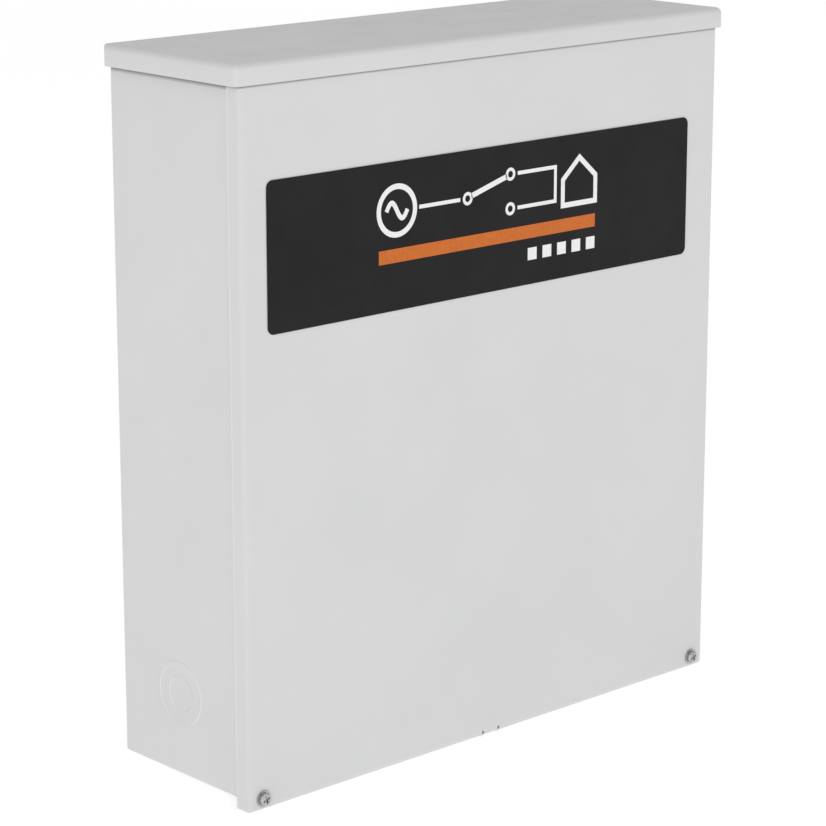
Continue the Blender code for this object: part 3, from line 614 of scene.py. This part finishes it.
# ---------------------------------------------------------------- cover screws
def threaded(name, spot, core, crest, pitch, start, end):
    """A threaded shank along the outward axis, from start to end behind the seat."""
    around = 24
    rows = int((end - start) / pitch * 4)
    tool = bmesh.new()
    rings = []
    for row in range(rows + 1):
        depth = start + (end - start) * row / rows
        ring = []
        for step in range(around):
            turn = step / around
            phase = (depth / pitch + turn) % 1
            radius = core + (crest - core) * (1 - abs(2 * phase - 1))
            angle = 2 * math.pi * turn
            ring.append(tool.verts.new((spot.x + radius * math.cos(angle), spot.y + depth,
                                        spot.z + radius * math.sin(angle))))
        rings.append(ring)
    for near, far in zip(rings, rings[1:]):
        for step in range(around):
            following = (step + 1) % around
            tool.faces.new((near[step], near[following], far[following], far[step]))
    tool.faces.new(rings[0])
    tool.faces.new(rings[-1])
    bmesh.ops.recalc_face_normals(tool, faces=tool.faces)
    return smoothed(from_bmesh(name, tool), 60)


def pan_head(name, seat, radius, height, cross=True):
    """A pan-head screw's head with a cross recess or a slot."""
    rim = 0.28 * height
    profile = [(0, height)]
    for step in range(1, 9):
        angle = math.radians(90 * step / 8)
        profile.append((radius * (0.55 + 0.45 * math.sin(angle)) if step > 3 else radius * 0.18 * step,
                        rim + (height - rim) * (math.cos(angle) ** 0.5 if step < 8 else 0)))
    profile += [(radius, 0.08 * height), (radius * 0.96, 0), (0, 0)]
    head = turned(name, profile, seat, OUT, 48)
    turn = UP.rotation_difference(OUT).to_matrix().to_4x4()
    wide = radius * (0.62 if cross else 1.3)
    thin = radius * 0.17
    recesses = []
    for angle in ((0, 90) if cross else (0,)):
        recess = block("recess", (-wide, -thin, height * 0.45), (wide, thin, height * 2))
        recess.data.transform(Matrix.Translation(seat) @ turn
                              @ Matrix.Rotation(math.radians(angle + 20), 4, "Z"))
        recesses.append(recess)
    cut(head, *recesses)
    return rounded(head, radius * 0.03, 2, 40)


def cover_screws():
    for word in ("left", "right"):
        body = "cover_screw_" + word
        washer_low, washer_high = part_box("cover_washer_" + word)
        screw_low, screw_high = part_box(body)
        spot = middle(body)
        outer = (washer_high.x - washer_low.x) / 2
        thick = washer_high.y - washer_low.y
        seat = Vector((spot.x, washer_high.y, spot.z))
        edge = 0.00025
        bore = 0.0026
        ring = [(bore, thick - edge), (bore + edge, thick), (outer - edge, thick), (outer, thick - edge),
                (outer, edge), (outer - edge, 0), (bore + edge, 0), (bore, edge)]
        settle(turned("cover_washer_%s_finish" % word, ring, seat, OUT, 64, closed=True), ZINC, body,
               "zinc", "cover_washer_" + word)
        radius = (screw_high.x - screw_low.x) / 2
        under = Vector((spot.x, washer_low.y, spot.z))
        head = pan_head("head", under, radius, washer_low.y - screw_low.y)
        shank = threaded("shank", under, 0.0019, 0.00235, 0.0008, -0.0002, screw_high.y - under.y)
        settle(joined(body + "_finish", [head, shank]), ZINC, body, "zinc", body)


# ---------------------------------------------------------------- nameplate
def ribbon(points, width, closed=False):
    """A flat stroke along (across, up) points, as lists of its left and right edges."""
    count = len(points)
    sides = []
    for index, point in enumerate(points):
        before = points[index - 1] if closed or index else point
        after = points[(index + 1) % count] if closed or index < count - 1 else point
        into = (Vector(point) - Vector(before)).normalized()
        onward = (Vector(after) - Vector(point)).normalized()
        along = (into + onward).normalized()
        normal = Vector((-along.y, along.x))
        mitre = max(0.4, along.dot(onward if onward.length else into))
        reach = normal * width / 2 / mitre
        sides.append((Vector(point) + reach, Vector(point) - reach))
    return sides


def printed(name, strokes, look):
    """Ink on the nameplate: strokes of (points, width, closed) and filled outlines."""
    face = low("nameplate").y
    tool = bmesh.new()
    for points, width, closed in strokes:
        if width is None:
            corners = [tool.verts.new((x, face, z)) for x, z in points]
            tool.faces.new(corners)
            continue
        rails = [(tool.verts.new((a.x, face, a.y)), tool.verts.new((b.x, face, b.y)))
                 for a, b in ribbon(points, width, closed)]
        pairs = list(zip(rails, rails[1:]))
        if closed:
            pairs.append((rails[-1], rails[0]))
        for (a, b), (c, d) in pairs:
            tool.faces.new((a, b, d, c))
    tool.normal_update()
    for face_made in tool.faces:
        if face_made.normal.y > 0:
            face_made.normal_flip()
    made = from_bmesh(name, tool)
    film = made.modifiers.new("ink", "SOLIDIFY")
    film.thickness = PRINT
    film.offset = 1
    settle(made, look, "front_cover", "nameplate_black")


def circle(centre, radius, count=48):
    return [(centre[0] + radius * math.cos(2 * math.pi * step / count),
             centre[1] + radius * math.sin(2 * math.pi * step / count)) for step in range(count)]


def wave(centre, reach, height):
    count = 24
    return [(centre[0] + reach * (2 * step / count - 1),
             centre[1] + height * math.sin(2 * math.pi * step / count)) for step in range(count + 1)]


def nameplate():
    """Black plate with plain symbols: a supply, a changeover switch, a house and a stripe."""
    corner_low, corner_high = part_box("nameplate")
    centre = (corner_low + corner_high) / 2
    inset = (corner_high - corner_low) / 2 - Vector((PLATE_CORNER, 0, PLATE_CORNER))
    tool = bmesh.new()
    ring = []
    for index, (sign_x, sign_z) in enumerate(((1, 1), (-1, 1), (-1, -1), (1, -1))):
        for step in range(13):
            angle = math.radians(90 * index + 90 * step / 12)
            x = centre.x + sign_x * inset.x + PLATE_CORNER * math.cos(angle)
            z = centre.z + sign_z * inset.z + PLATE_CORNER * math.sin(angle)
            ring.append(tool.verts.new((x, corner_high.y, z)))
    sheet = tool.faces.new(ring)
    tool.normal_update()
    if sheet.normal.y < 0:
        sheet.normal_flip()
    bmesh.ops.recalc_face_normals(tool, faces=tool.faces)
    plate = from_bmesh("nameplate_finish", tool)
    film = plate.modifiers.new("film", "SOLIDIFY")
    film.thickness = corner_high.y - corner_low.y
    film.offset = 1 if sheet_faces_front(plate) else -1
    baked(plate)
    settle(rounded(plate, 0.00012, 2), FILM, "front_cover", "nameplate_black", "nameplate")
    symbols(centre.x, centre.z)


def sheet_faces_front(plate):
    return plate.data.polygons[0].normal.y < 0


def symbols(x, z):
    """A one-line diagram of supply, changeover switch and house, over an orange stripe."""
    line = 0.0052
    size = 0.0225
    reach = 0.142
    level = z + 0.024
    dot = 0.0048
    fork = size * 0.74
    hinge = x - 0.030
    throw = x + 0.026
    supply = (x - reach + size, level)
    house = (x + reach - size, level)
    eaves = level + size * 0.12
    roof = [(house[0] - size, level - size), (house[0] - size, eaves), (house[0], level + size),
            (house[0] + size, eaves), (house[0] + size, level - size)]
    strokes = [(circle(supply, size), line, True),
               (wave(supply, size * 0.58, size * 0.34), line * 0.9, False),
               ([(supply[0] + size + line, level), (hinge - dot * 2, level)], line * 0.7, False),
               ([(hinge + dot, level + 0.002), (throw - dot, level + fork * 0.9)], line, False),
               ([(throw + dot * 2, level + fork), (house[0] - size - line * 2, level + fork),
                 (house[0] - size - line * 2, level - fork), (throw + dot * 2, level - fork)],
                line * 0.7, False),
               (roof, line, True)]
    for spot in ((hinge, level), (throw, level + fork), (throw, level - fork)):
        strokes.append((circle(spot, dot, 24), line * 0.6, True))
    printed("nameplate_symbols", strokes, WHITE_INK)
    printed("nameplate_stripe", [(rectangle(x, z - 0.018, reach, 0.0065), None, True)], ORANGE_INK)
    marks = [(rectangle(x + reach - 0.006 - 0.020 * index, z - 0.040, 0.006, 0.006), None, True)
             for index in range(5)]
    printed("nameplate_marks", marks, WHITE_INK)


def rectangle(x, z, half_width, half_height):
    return [(x - half_width, z - half_height), (x + half_width, z - half_height),
            (x + half_width, z + half_height), (x - half_width, z + half_height)]


# ---------------------------------------------------------------- what stands on the plate
def carried(node, look, slot, width=0.0005, segments=2):
    """A CAD node's own shape with rounded edges and a finished material, on its own body."""
    body = frame["nodes"][node]["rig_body"]
    return settle(refined(node, width, segments), look, body, slot, node)


def hex_nut(name, seat, flats, height):
    """A hexagon nut: six flats, chamfered at the top."""
    radius = flats / math.sqrt(3)
    bevel = radius * 0.14
    top = [(0, height), (radius - bevel, height), (radius, height - bevel * 0.6), (radius, 0), (0, 0)]
    return rounded(turned(name, top, seat, OUT, 6), radius * 0.03, 2)


def set_screw(name, seat, radius, height):
    """A round set screw with a hexagon socket."""
    edge = radius * 0.12
    screw = turned(name, [(0, height), (radius - edge, height), (radius, height - edge), (radius, 0),
                          (0, 0)], seat, OUT, 32)
    hole = radius * 0.55
    socket = turned("socket", [(0, height + PAST), (hole, height + PAST), (hole, height - hole),
                               (0, height - hole * 1.3)], seat, OUT, 6)
    return cut(screw, socket)


def plate():
    carried("mounting_plate", SPANGLE, "zinc", 0.0004)
    for number in range(1, 5):
        stud = "plate_stud_%d" % number
        carried(stud, STEEL, "steel", 0.0005)
        spot = middle(stud)
        seat = Vector((spot.x, low("mounting_plate").y - 0.0001, spot.z))
        tip = turned("tip", [(0, 0.0072), (0.0022, 0.0072), (0.0027, 0.0066), (0.0027, 0.001), (0, 0.001)],
                     seat, OUT, 32)
        washer = turned("washer", [(0.003, 0.0010), (0.0085, 0.0010), (0.0085, 0), (0.003, 0)], seat,
                        OUT, 48, closed=True)
        nut = hex_nut("nut", seat + OUT * 0.0010, 0.010, 0.0045)
        settle(joined("plate_nut_%d" % number, [washer, nut, tip]), ZINC, "root", "zinc")


def mechanism():
    carried("mechanism_base", BLACK, "black_moulding", 0.0007, 3)
    carried("contact_carrier", CREAM, "cream_moulding", 0.0004)
    carried("load_block", BLACK, "black_moulding", 0.0006, 3)
    for number in range(1, 4):
        carried("moving_contact_%d" % number, COPPER, "copper", 0.0005, 3)
        contact_pads(number)
        for word, way in (("utility", 1), ("standby", -1)):
            lug = "%s_lug_%d" % (word, number)
            carried(lug, ALUMINIUM, "aluminium", 0.0006, 3)
            outer_z = high(lug).z if way > 0 else low(lug).z
            seat = Vector((middle(lug).x, low(lug).y + LUG_SCREW_SEAT, outer_z - way * 0.0165))
            settle(set_screw(lug + "_set_screw", seat, *LUG_SCREW), STEEL, "root", "steel")
        load_link(number)
        lug = "load_lug_%d" % number
        carried(lug, ALUMINIUM, "aluminium", 0.0006, 3)
        seat = Vector((middle(lug).x, low(lug).y + LUG_SCREW_SEAT, middle(lug).z))
        settle(set_screw(lug + "_set_screw", seat, *LUG_SCREW), STEEL, "root", "steel")


def load_link(number):
    """A copper strap between a pole's wall and the load block, behind the shaft."""
    level = middle("load_lug_%d" % number).z
    left = high("mechanism_base").x - 0.0025
    right = low("load_block").x + 0.0005
    strap = block("load_link_%d" % number, (left, SHAFT.y + 0.020, level - 0.008),
                  (right, SHAFT.y + 0.023, level + 0.008), 0.0005)
    settle(strap, COPPER, "root", "copper")


def contact_pads(number):
    """Silver pads on both faces of a blade, near its tip."""
    normal = Vector((0, math.sin(SWING), math.cos(SWING)))
    along = Vector((0, -math.cos(SWING), math.sin(SWING)))
    x = middle("moving_contact_%d" % number).x
    pads = []
    for way in (-1, 1):
        seat = Vector((x, SHAFT.y, SHAFT.z)) + along * 0.039 + normal * way * 0.0039
        pads.append(turned("pad", [(0, 0.00030), (0.0038, 0.00028), (0.0046, 0.0001), (0.0046, 0),
                                   (0, 0)], seat, normal * way, 40))
    settle(joined("contact_pads_%d" % number, pads), SILVER, "contact_carrier", "copper")


def coil(word):
    """A bobbin with its layers of enamelled wire."""
    node = word + "_coil"
    corner_low, corner_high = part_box(node)
    centre = (corner_low + corner_high) / 2
    half = (corner_high.z - corner_low.z) / 2
    outer = (corner_high.x - corner_low.x) / 2
    bore = 0.0087
    cheek = 0.0022
    edge = 0.0005
    bobbin = [(bore, half), (outer - edge, half), (outer, half - edge), (outer, half - cheek),
              (bore + 0.0012, half - cheek), (bore + 0.0012, cheek - half), (outer, cheek - half),
              (outer, edge - half), (outer - edge, -half), (bore, -half)]
    settle(turned(node + "_bobbin", bobbin, centre, UP, 72, closed=True), CREAM, "root",
           "winding_tape", node)
    wire = 0.00095
    reach = half - cheek - 0.0001
    count = int(2 * reach / wire)
    crest = outer - 0.0016
    profile = [(bore + 0.0015, reach), (crest, reach)]
    for turn in range(count):
        top = reach - 2 * reach * turn / count
        step = 2 * reach / count
        profile += [(crest + wire * 0.30, top - step * 0.25), (crest + wire * 0.40, top - step * 0.5),
                    (crest + wire * 0.30, top - step * 0.75), (crest, top - step)]
    profile += [(bore + 0.0015, -reach)]
    winding = turned(node + "_winding", profile, centre, UP, 72, closed=True)
    winding.data.set_sharp_from_angle(angle=math.radians(100))
    settle(winding, WINDING, "root", "winding_tape")
    carried(word + "_yoke", STEEL, "steel", 0.0005)
    carried(word + "_plunger", STEEL, "steel", 0.0004)


def spring():
    """Return spring round the standby plunger."""
    corner_low, corner_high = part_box("plunger_spring")
    centre = (corner_low + corner_high) / 2
    wire = 0.0005
    radius = (corner_high.x - corner_low.x) / 2 - wire
    bottom = corner_low.z + wire
    length = corner_high.z - corner_low.z - 2 * wire
    turns = 6.5
    steps = 28
    points = []
    for index in range(int(turns * steps) + 1):
        turn = index / steps
        share = min(1, max(0, (turn - 0.75) / (turns - 1.5)))
        rise = (turn if turn < 0.75 else 0.75 if turn < turns - 0.75 else 0.75 + turn - turns + 0.75)
        height = bottom + rise * 2.2 * wire + share * (length - 1.5 * 2.2 * wire)
        angle = 2 * math.pi * turn
        points.append((centre.x + radius * math.cos(angle), centre.y + radius * math.sin(angle), height))
    piece = settle(sweep("plunger_spring_finish", points, wire), STEEL, "root", "steel",
                   "plunger_spring")
    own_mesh(piece)


def limit_switches():
    for word in ("utility", "standby"):
        body = "limit_switch_" + word
        carried(body, BLACK, "black_moulding", 0.0006, 3)
        carried("limit_button_" + word, RED, "red_vinyl", 0.0003)
        rivets = []
        for shift in (-0.004, 0.004):
            seat = Vector((middle(body).x, low(body).y, middle(body).z + shift))
            rivets.append(turned("rivet", [(0, 0.0006), (0.0012, 0.0005), (0.0018, 0), (0, 0)], seat, OUT,
                                 24))
        settle(joined(body + "_rivets", rivets), BRASS, "root", "copper")


# ---------------------------------------------------------------- controls
def relay():
    carried("relay_socket", BLACK, "black_moulding", 0.0004)
    carried("transfer_relay", CREAM, "cream_moulding", 0.0010, 4)
    corner_low, corner_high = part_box("transfer_relay")
    x = (corner_low.x + corner_high.x) / 2
    z = (corner_low.z + corner_high.z) / 2
    flag = block("relay_test_button", (x - 0.003, corner_low.y - 0.0012, z + 0.006),
                 (x + 0.003, corner_low.y + 0.001, z + 0.012), 0.0006, 3)
    settle(flag, RED, "transfer_relay", "red_vinyl")
    ribs = []
    for index in range(5):
        level = z - 0.012 + index * 0.003
        ribs.append(block("rib", (x - 0.011, corner_low.y - 0.0006, level - 0.0005),
                          (x + 0.011, corner_low.y + 0.0004, level + 0.0005), 0.0003, 2))
    settle(joined("relay_grip_ribs", ribs), CREAM, "transfer_relay", "cream_moulding")
    heads = []
    socket_low, socket_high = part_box("relay_socket")
    for level in (socket_low.z + 0.006, socket_low.z + 0.014, socket_high.z - 0.014,
                  socket_high.z - 0.006):
        for across in (-0.012, -0.004, 0.004, 0.012):
            heads.append(pan_head("head", Vector((x + across, socket_low.y, level)), 0.0028, 0.0016))
    settle(joined("relay_socket_screws", heads), ZINC, "root", "zinc")


def fuses():
    carried("fuse_block", BLACK, "black_moulding", 0.0004)
    for number in range(1, 4):
        node = "fuse_%d" % number
        corner_low, corner_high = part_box(node)
        centre = (corner_low + corner_high) / 2
        half = (corner_high.z - corner_low.z) / 2
        radius = (corner_high.x - corner_low.x) / 2
        body = turned(node + "_body", [(0, half - 0.001), (radius - 0.0004, half - 0.001),
                                       (radius - 0.0004, 0.001 - half), (0, 0.001 - half)], centre, UP, 48)
        settle(body, CERAMIC, node, "fuse_body", node)
        caps = []
        for way in (-1, 1):
            end = [(0, half), (radius - 0.0006, half), (radius, half - 0.0006), (radius, half - 0.0088),
                   (radius - 0.0002, half - 0.0092), (radius - 0.0005, half - 0.0092), (0, half - 0.0092)]
            caps.append(turned("cap", end, centre, UP * way, 48))
        settle(joined(node + "_caps", caps), BRASS, node, "copper")
        fuse_clips(number, centre, radius)


def fuse_clips(number, centre, radius):
    """Spring clips that line the block's seats behind each fuse."""
    clips = []
    gauge = 0.00022
    inner = radius + 0.00006
    for way in (-1, 1):
        section = []
        for lip in (-1, 1):
            section.append((lip * (inner + gauge / 2), -0.0055))
        arc = [(-(inner + gauge / 2) * math.cos(math.pi * step / 20),
                (inner + gauge / 2) * math.sin(math.pi * step / 20)) for step in range(21)]
        path = [section[0]] + arc + [section[1]]
        tool = bmesh.new()
        rails = [[tool.verts.new((centre.x + a.x, centre.y + a.y, centre.z + way * 0.016 + shift))
                  for a, shift in ((pair[0], -0.0027), (pair[0], 0.0027), (pair[1], 0.0027),
                                   (pair[1], -0.0027))] for pair in ribbon(path, gauge)]
        for near, far in zip(rails, rails[1:]):
            for corner in range(4):
                following = (corner + 1) % 4
                tool.faces.new((near[corner], near[following], far[following], far[corner]))
        tool.faces.new(rails[0])
        tool.faces.new(rails[-1])
        bmesh.ops.recalc_face_normals(tool, faces=tool.faces)
        clips.append(from_bmesh("clip", tool))
    settle(joined("fuse_%d_clips" % number, clips), BRASS, "root", "copper")


def terminal_strip():
    carried("terminal_block", BLACK, "black_moulding", 0.0003)
    corner_low, corner_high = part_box("terminal_block")
    face = corner_high.y - 0.010
    x = (corner_low.x + corner_high.x) / 2
    parts = []
    for row in range(TERMINAL_ROWS):
        level = corner_high.z - 0.001 - (row + 0.5) * TERMINAL_PITCH
        for way in (-1, 1):
            across = x + way * 0.0065
            parts.append(block("saddle", (across - 0.0045, face - 0.0007, level - 0.0037),
                               (across + 0.0045, face + 0.0002, level + 0.0037), 0.0002, 2))
            parts.append(pan_head("head", Vector((across, face - 0.0007, level)), 0.0027, 0.0018))
    settle(joined("terminal_screws", parts), ZINC, "root", "zinc")


def bars():
    carried("neutral_insulator", CREAM, "cream_moulding", 0.0007, 3)
    carried("neutral_bar", ALUMINIUM, "aluminium", 0.0006, 3)
    carried("ground_bar", ALUMINIUM, "aluminium", 0.0005, 3)
    corner_low, corner_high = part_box("neutral_bar")
    z = (corner_low.z + corner_high.z) / 2
    screws = []
    for index in range(4):
        screws.append(set_screw("screw", Vector((corner_low.x + 0.016 + index * 0.0293, corner_low.y, z)),
                                0.0055, 0.0018))
    settle(joined("neutral_bar_set_screws", screws), STEEL, "root", "steel")
    corner_low, corner_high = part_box("ground_bar")
    screws = []
    for index in range(6):
        seat = Vector((corner_low.x + 0.0125 + index * 0.017, corner_low.y, middle("ground_bar").z))
        screws.append(pan_head("screw", seat, 0.0042, 0.0028, cross=False))
    settle(joined("ground_bar_screws", screws), ZINC, "root", "zinc")


def handle():
    carried("handle_clip", BLACK, "black_moulding", 0.0006, 3)
    carried("manual_handle", ZINC, "zinc", 0.0004)
    corner_low, corner_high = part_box("handle_grip")
    centre = (corner_low + corner_high) / 2
    half = (corner_high.x - corner_low.x) / 2
    radius = (corner_high.y - corner_low.y) / 2
    profile = []
    for step in range(7):
        angle = math.radians(90 * step / 6)
        profile.append((radius * math.sin(angle), half - 0.006 + 0.006 * math.cos(angle)))
    rib = 0.0046
    level = half - 0.010
    while level > 0.010 - half:
        profile += [(radius, level), (radius - 0.0008, level - 0.0004),
                    (radius - 0.0008, level - 0.0016), (radius, level - 0.0020)]
        level -= rib
    profile += [(radius, 0.001 - half), (radius - 0.001, -half), (0, -half)]
    settle(rounded(turned("handle_grip_finish", profile, centre, ACROSS, 64), 0.00025, 2), RED,
           "manual_handle", "red_vinyl", "handle_grip")


def routed(corners, radius):
    """Points along straight runs whose corners are rounded off."""
    steps = 8
    corners = [Vector(corner) for corner in corners]
    points = [corners[0]]
    for before, corner, after in zip(corners, corners[1:], corners[2:]):
        reach = min(radius, (corner - before).length / 2, (after - corner).length / 2)
        start = corner + (before - corner).normalized() * reach
        end = corner + (after - corner).normalized() * reach
        for step in range(steps + 1):
            share = step / steps
            points.append(start.lerp(corner, share).lerp(corner.lerp(end, share), share))
    points.append(corners[-1])
    return points


def harness():
    """Seven separate control wires, tied in a bundle beside the terminal strip."""
    corner_low, corner_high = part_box("control_harness")
    depth = (corner_low.y + corner_high.y) / 2
    trunk = corner_low.x + 0.004
    strip_left = low("terminal_block").x
    relay_top = high("relay_socket").z
    fuse_foot = low("fuse_block").z
    turn_z = corner_high.z - 0.004
    jackets = [("blue", BLUE), ("brown", BROWN), ("white", WHITE_WIRE)]
    bundles = {name: [] for name, look in jackets}
    middle_row = corner_low.z + 0.004
    for number in range(7):
        angle = math.radians(60 * number)
        ring = 0.0 if number == 6 else 0.0023
        across = trunk + ring * math.cos(angle)
        out = depth + ring * math.sin(angle)
        row = middle_row + (number - 3) * TERMINAL_PITCH
        goes_up = number in (0, 1, 5)
        spread = {0: -0.190, 1: -0.215, 5: -0.240, 2: -0.229, 3: -0.220, 4: -0.211, 6: -0.202}[number]
        level = turn_z + (0.004 if goes_up else -0.006) + ring * math.sin(angle)
        end = fuse_foot + 0.001 if goes_up else relay_top - 0.001
        corners = [(strip_left + 0.004, depth - 0.0052, row), (strip_left - 0.006, depth - 0.0052, row),
                   (across, out, row + 0.010), (across, out, level), (spread, out, level),
                   (spread, depth, end)]
        name = jackets[number % 3][0]
        bundles[name].append(sweep("wire", routed(corners, 0.009), WIRE))
    for name, look in jackets:
        piece = joined(name + "_control_wires", bundles[name])
        nodes = ["control_harness"] if name == "blue" else []
        settle(piece, look, "root", "wire_jacket", *nodes)
    ties = []
    for level in (0.010, 0.055, 0.100, 0.145):
        band = [(0.0034, 0.0013), (0.0040, 0.0010), (0.0040, -0.0010), (0.0034, -0.0013)]
        ties.append(turned("tie", band, (trunk, depth, level), UP, 40, closed=True))
        ties.append(block("tie_lock", (trunk - 0.0022, depth - 0.0062, level - 0.0019),
                          (trunk + 0.0022, depth - 0.0036, level + 0.0019), 0.0005, 2))
    settle(joined("cable_ties", ties), BLACK, "root", "black_moulding")


def coil_leads():
    """A pair of wires from each coil, back to the plate and along it to the terminal strip."""
    harness_low, harness_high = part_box("control_harness")
    depth = (harness_low.y + harness_high.y) / 2
    strip = high("terminal_block")
    wing = high("utility_yoke").y - 0.0018
    for word, way, look, rows in (("utility", 1, WHITE_WIRE, (0, 1)), ("standby", -1, BROWN, (3, 2))):
        coil_low, coil_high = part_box(word + "_coil")
        middle_y = (coil_low.y + coil_high.y) / 2
        cheek = coil_high.z if way > 0 else coil_low.z
        leads = []
        for lead, row in enumerate(rows):
            column = strip.x + 0.0085 + 0.003 * (lead + (0 if way > 0 else 2))
            level = cheek - way * (0.005 + 0.003 * lead)
            screw = strip.z - 0.001 - (row + 0.5) * TERMINAL_PITCH
            corners = [(coil_low.x + 0.004, middle_y, level), (coil_low.x - 0.006, middle_y, level),
                       (coil_low.x - 0.012, wing, level), (column, wing, level),
                       (column, depth, level), (column, depth, screw),
                       (strip.x + 0.002, depth - 0.0052, screw), (strip.x - 0.004, depth - 0.0052, screw)]
            leads.append(sweep("lead", routed(corners, 0.006), WIRE))
        settle(joined(word + "_coil_leads", leads), look, "root", "wire_jacket")


# ---------------------------------------------------------------- studio
def floor():
    """A pale floor, bright enough to read as a white studio sweep."""
    tool = bmesh.new()
    bmesh.ops.create_grid(tool, x_segments=4, y_segments=4, size=30)
    bmesh.ops.translate(tool, vec=(0, 0, cad_box[0].z - 0.0005), verts=tool.verts)
    made = from_bmesh("floor", tool)
    look = surface("pale_floor", [(0.86, 0.86, 0.86), (0.88, 0.88, 0.88)], (0.85, 0.95), mottle=0.8)
    shader = look.node_tree.nodes["Principled BSDF"]
    shader.inputs["Emission Color"].default_value = (1, 1, 1, 1)
    shader.inputs["Emission Strength"].default_value = 0.44
    made.data.materials.append(look)


def softbox(name, spot, aim, width, height, power):
    light = bpy.data.lights.new(name, "AREA")
    light.shape = "RECTANGLE"
    light.size = width
    light.size_y = height
    light.energy = power
    made = link(name, light)
    made.location = spot
    made.rotation_euler = (Vector(aim) - Vector(spot)).to_track_quat("-Z", "Y").to_euler()


def studio():
    world = bpy.data.worlds.new("studio")
    world.use_nodes = True
    sky = world.node_tree.nodes["Background"]
    sky.inputs["Color"].default_value = (1, 1, 1, 1)
    sky.inputs["Strength"].default_value = 0.63
    bpy.context.scene.world = world
    bpy.context.scene.view_settings.view_transform = "Standard"
    centre = (cad_box[0] + cad_box[1]) / 2
    softbox("key_left", (-2.6, -1.6, 1.2), centre, 1.6, 1.6, 15.5)
    softbox("fill_front", (0.9, -3.0, 0.8), centre, 1.8, 1.8, 8.5)


def camera():
    data = bpy.data.cameras.new("camera")
    data.lens = 126.87
    data.shift_y = -0.05
    data.clip_end = 100
    made = link("camera", data)
    made.location = (-1.892, -2.131, 0.679)
    made.rotation_euler = (math.radians(76.285), 0, math.radians(-42.608))
    bpy.context.scene.camera = made


drip_cap()
front_cover()
enclosure_body()
knockout()
cover_screws()
nameplate()
plate()
mechanism()
coil("utility")
coil("standby")
spring()
limit_switches()
relay()
fuses()
terminal_strip()
bars()
handle()
harness()
coil_leads()
floor()
studio()
camera()
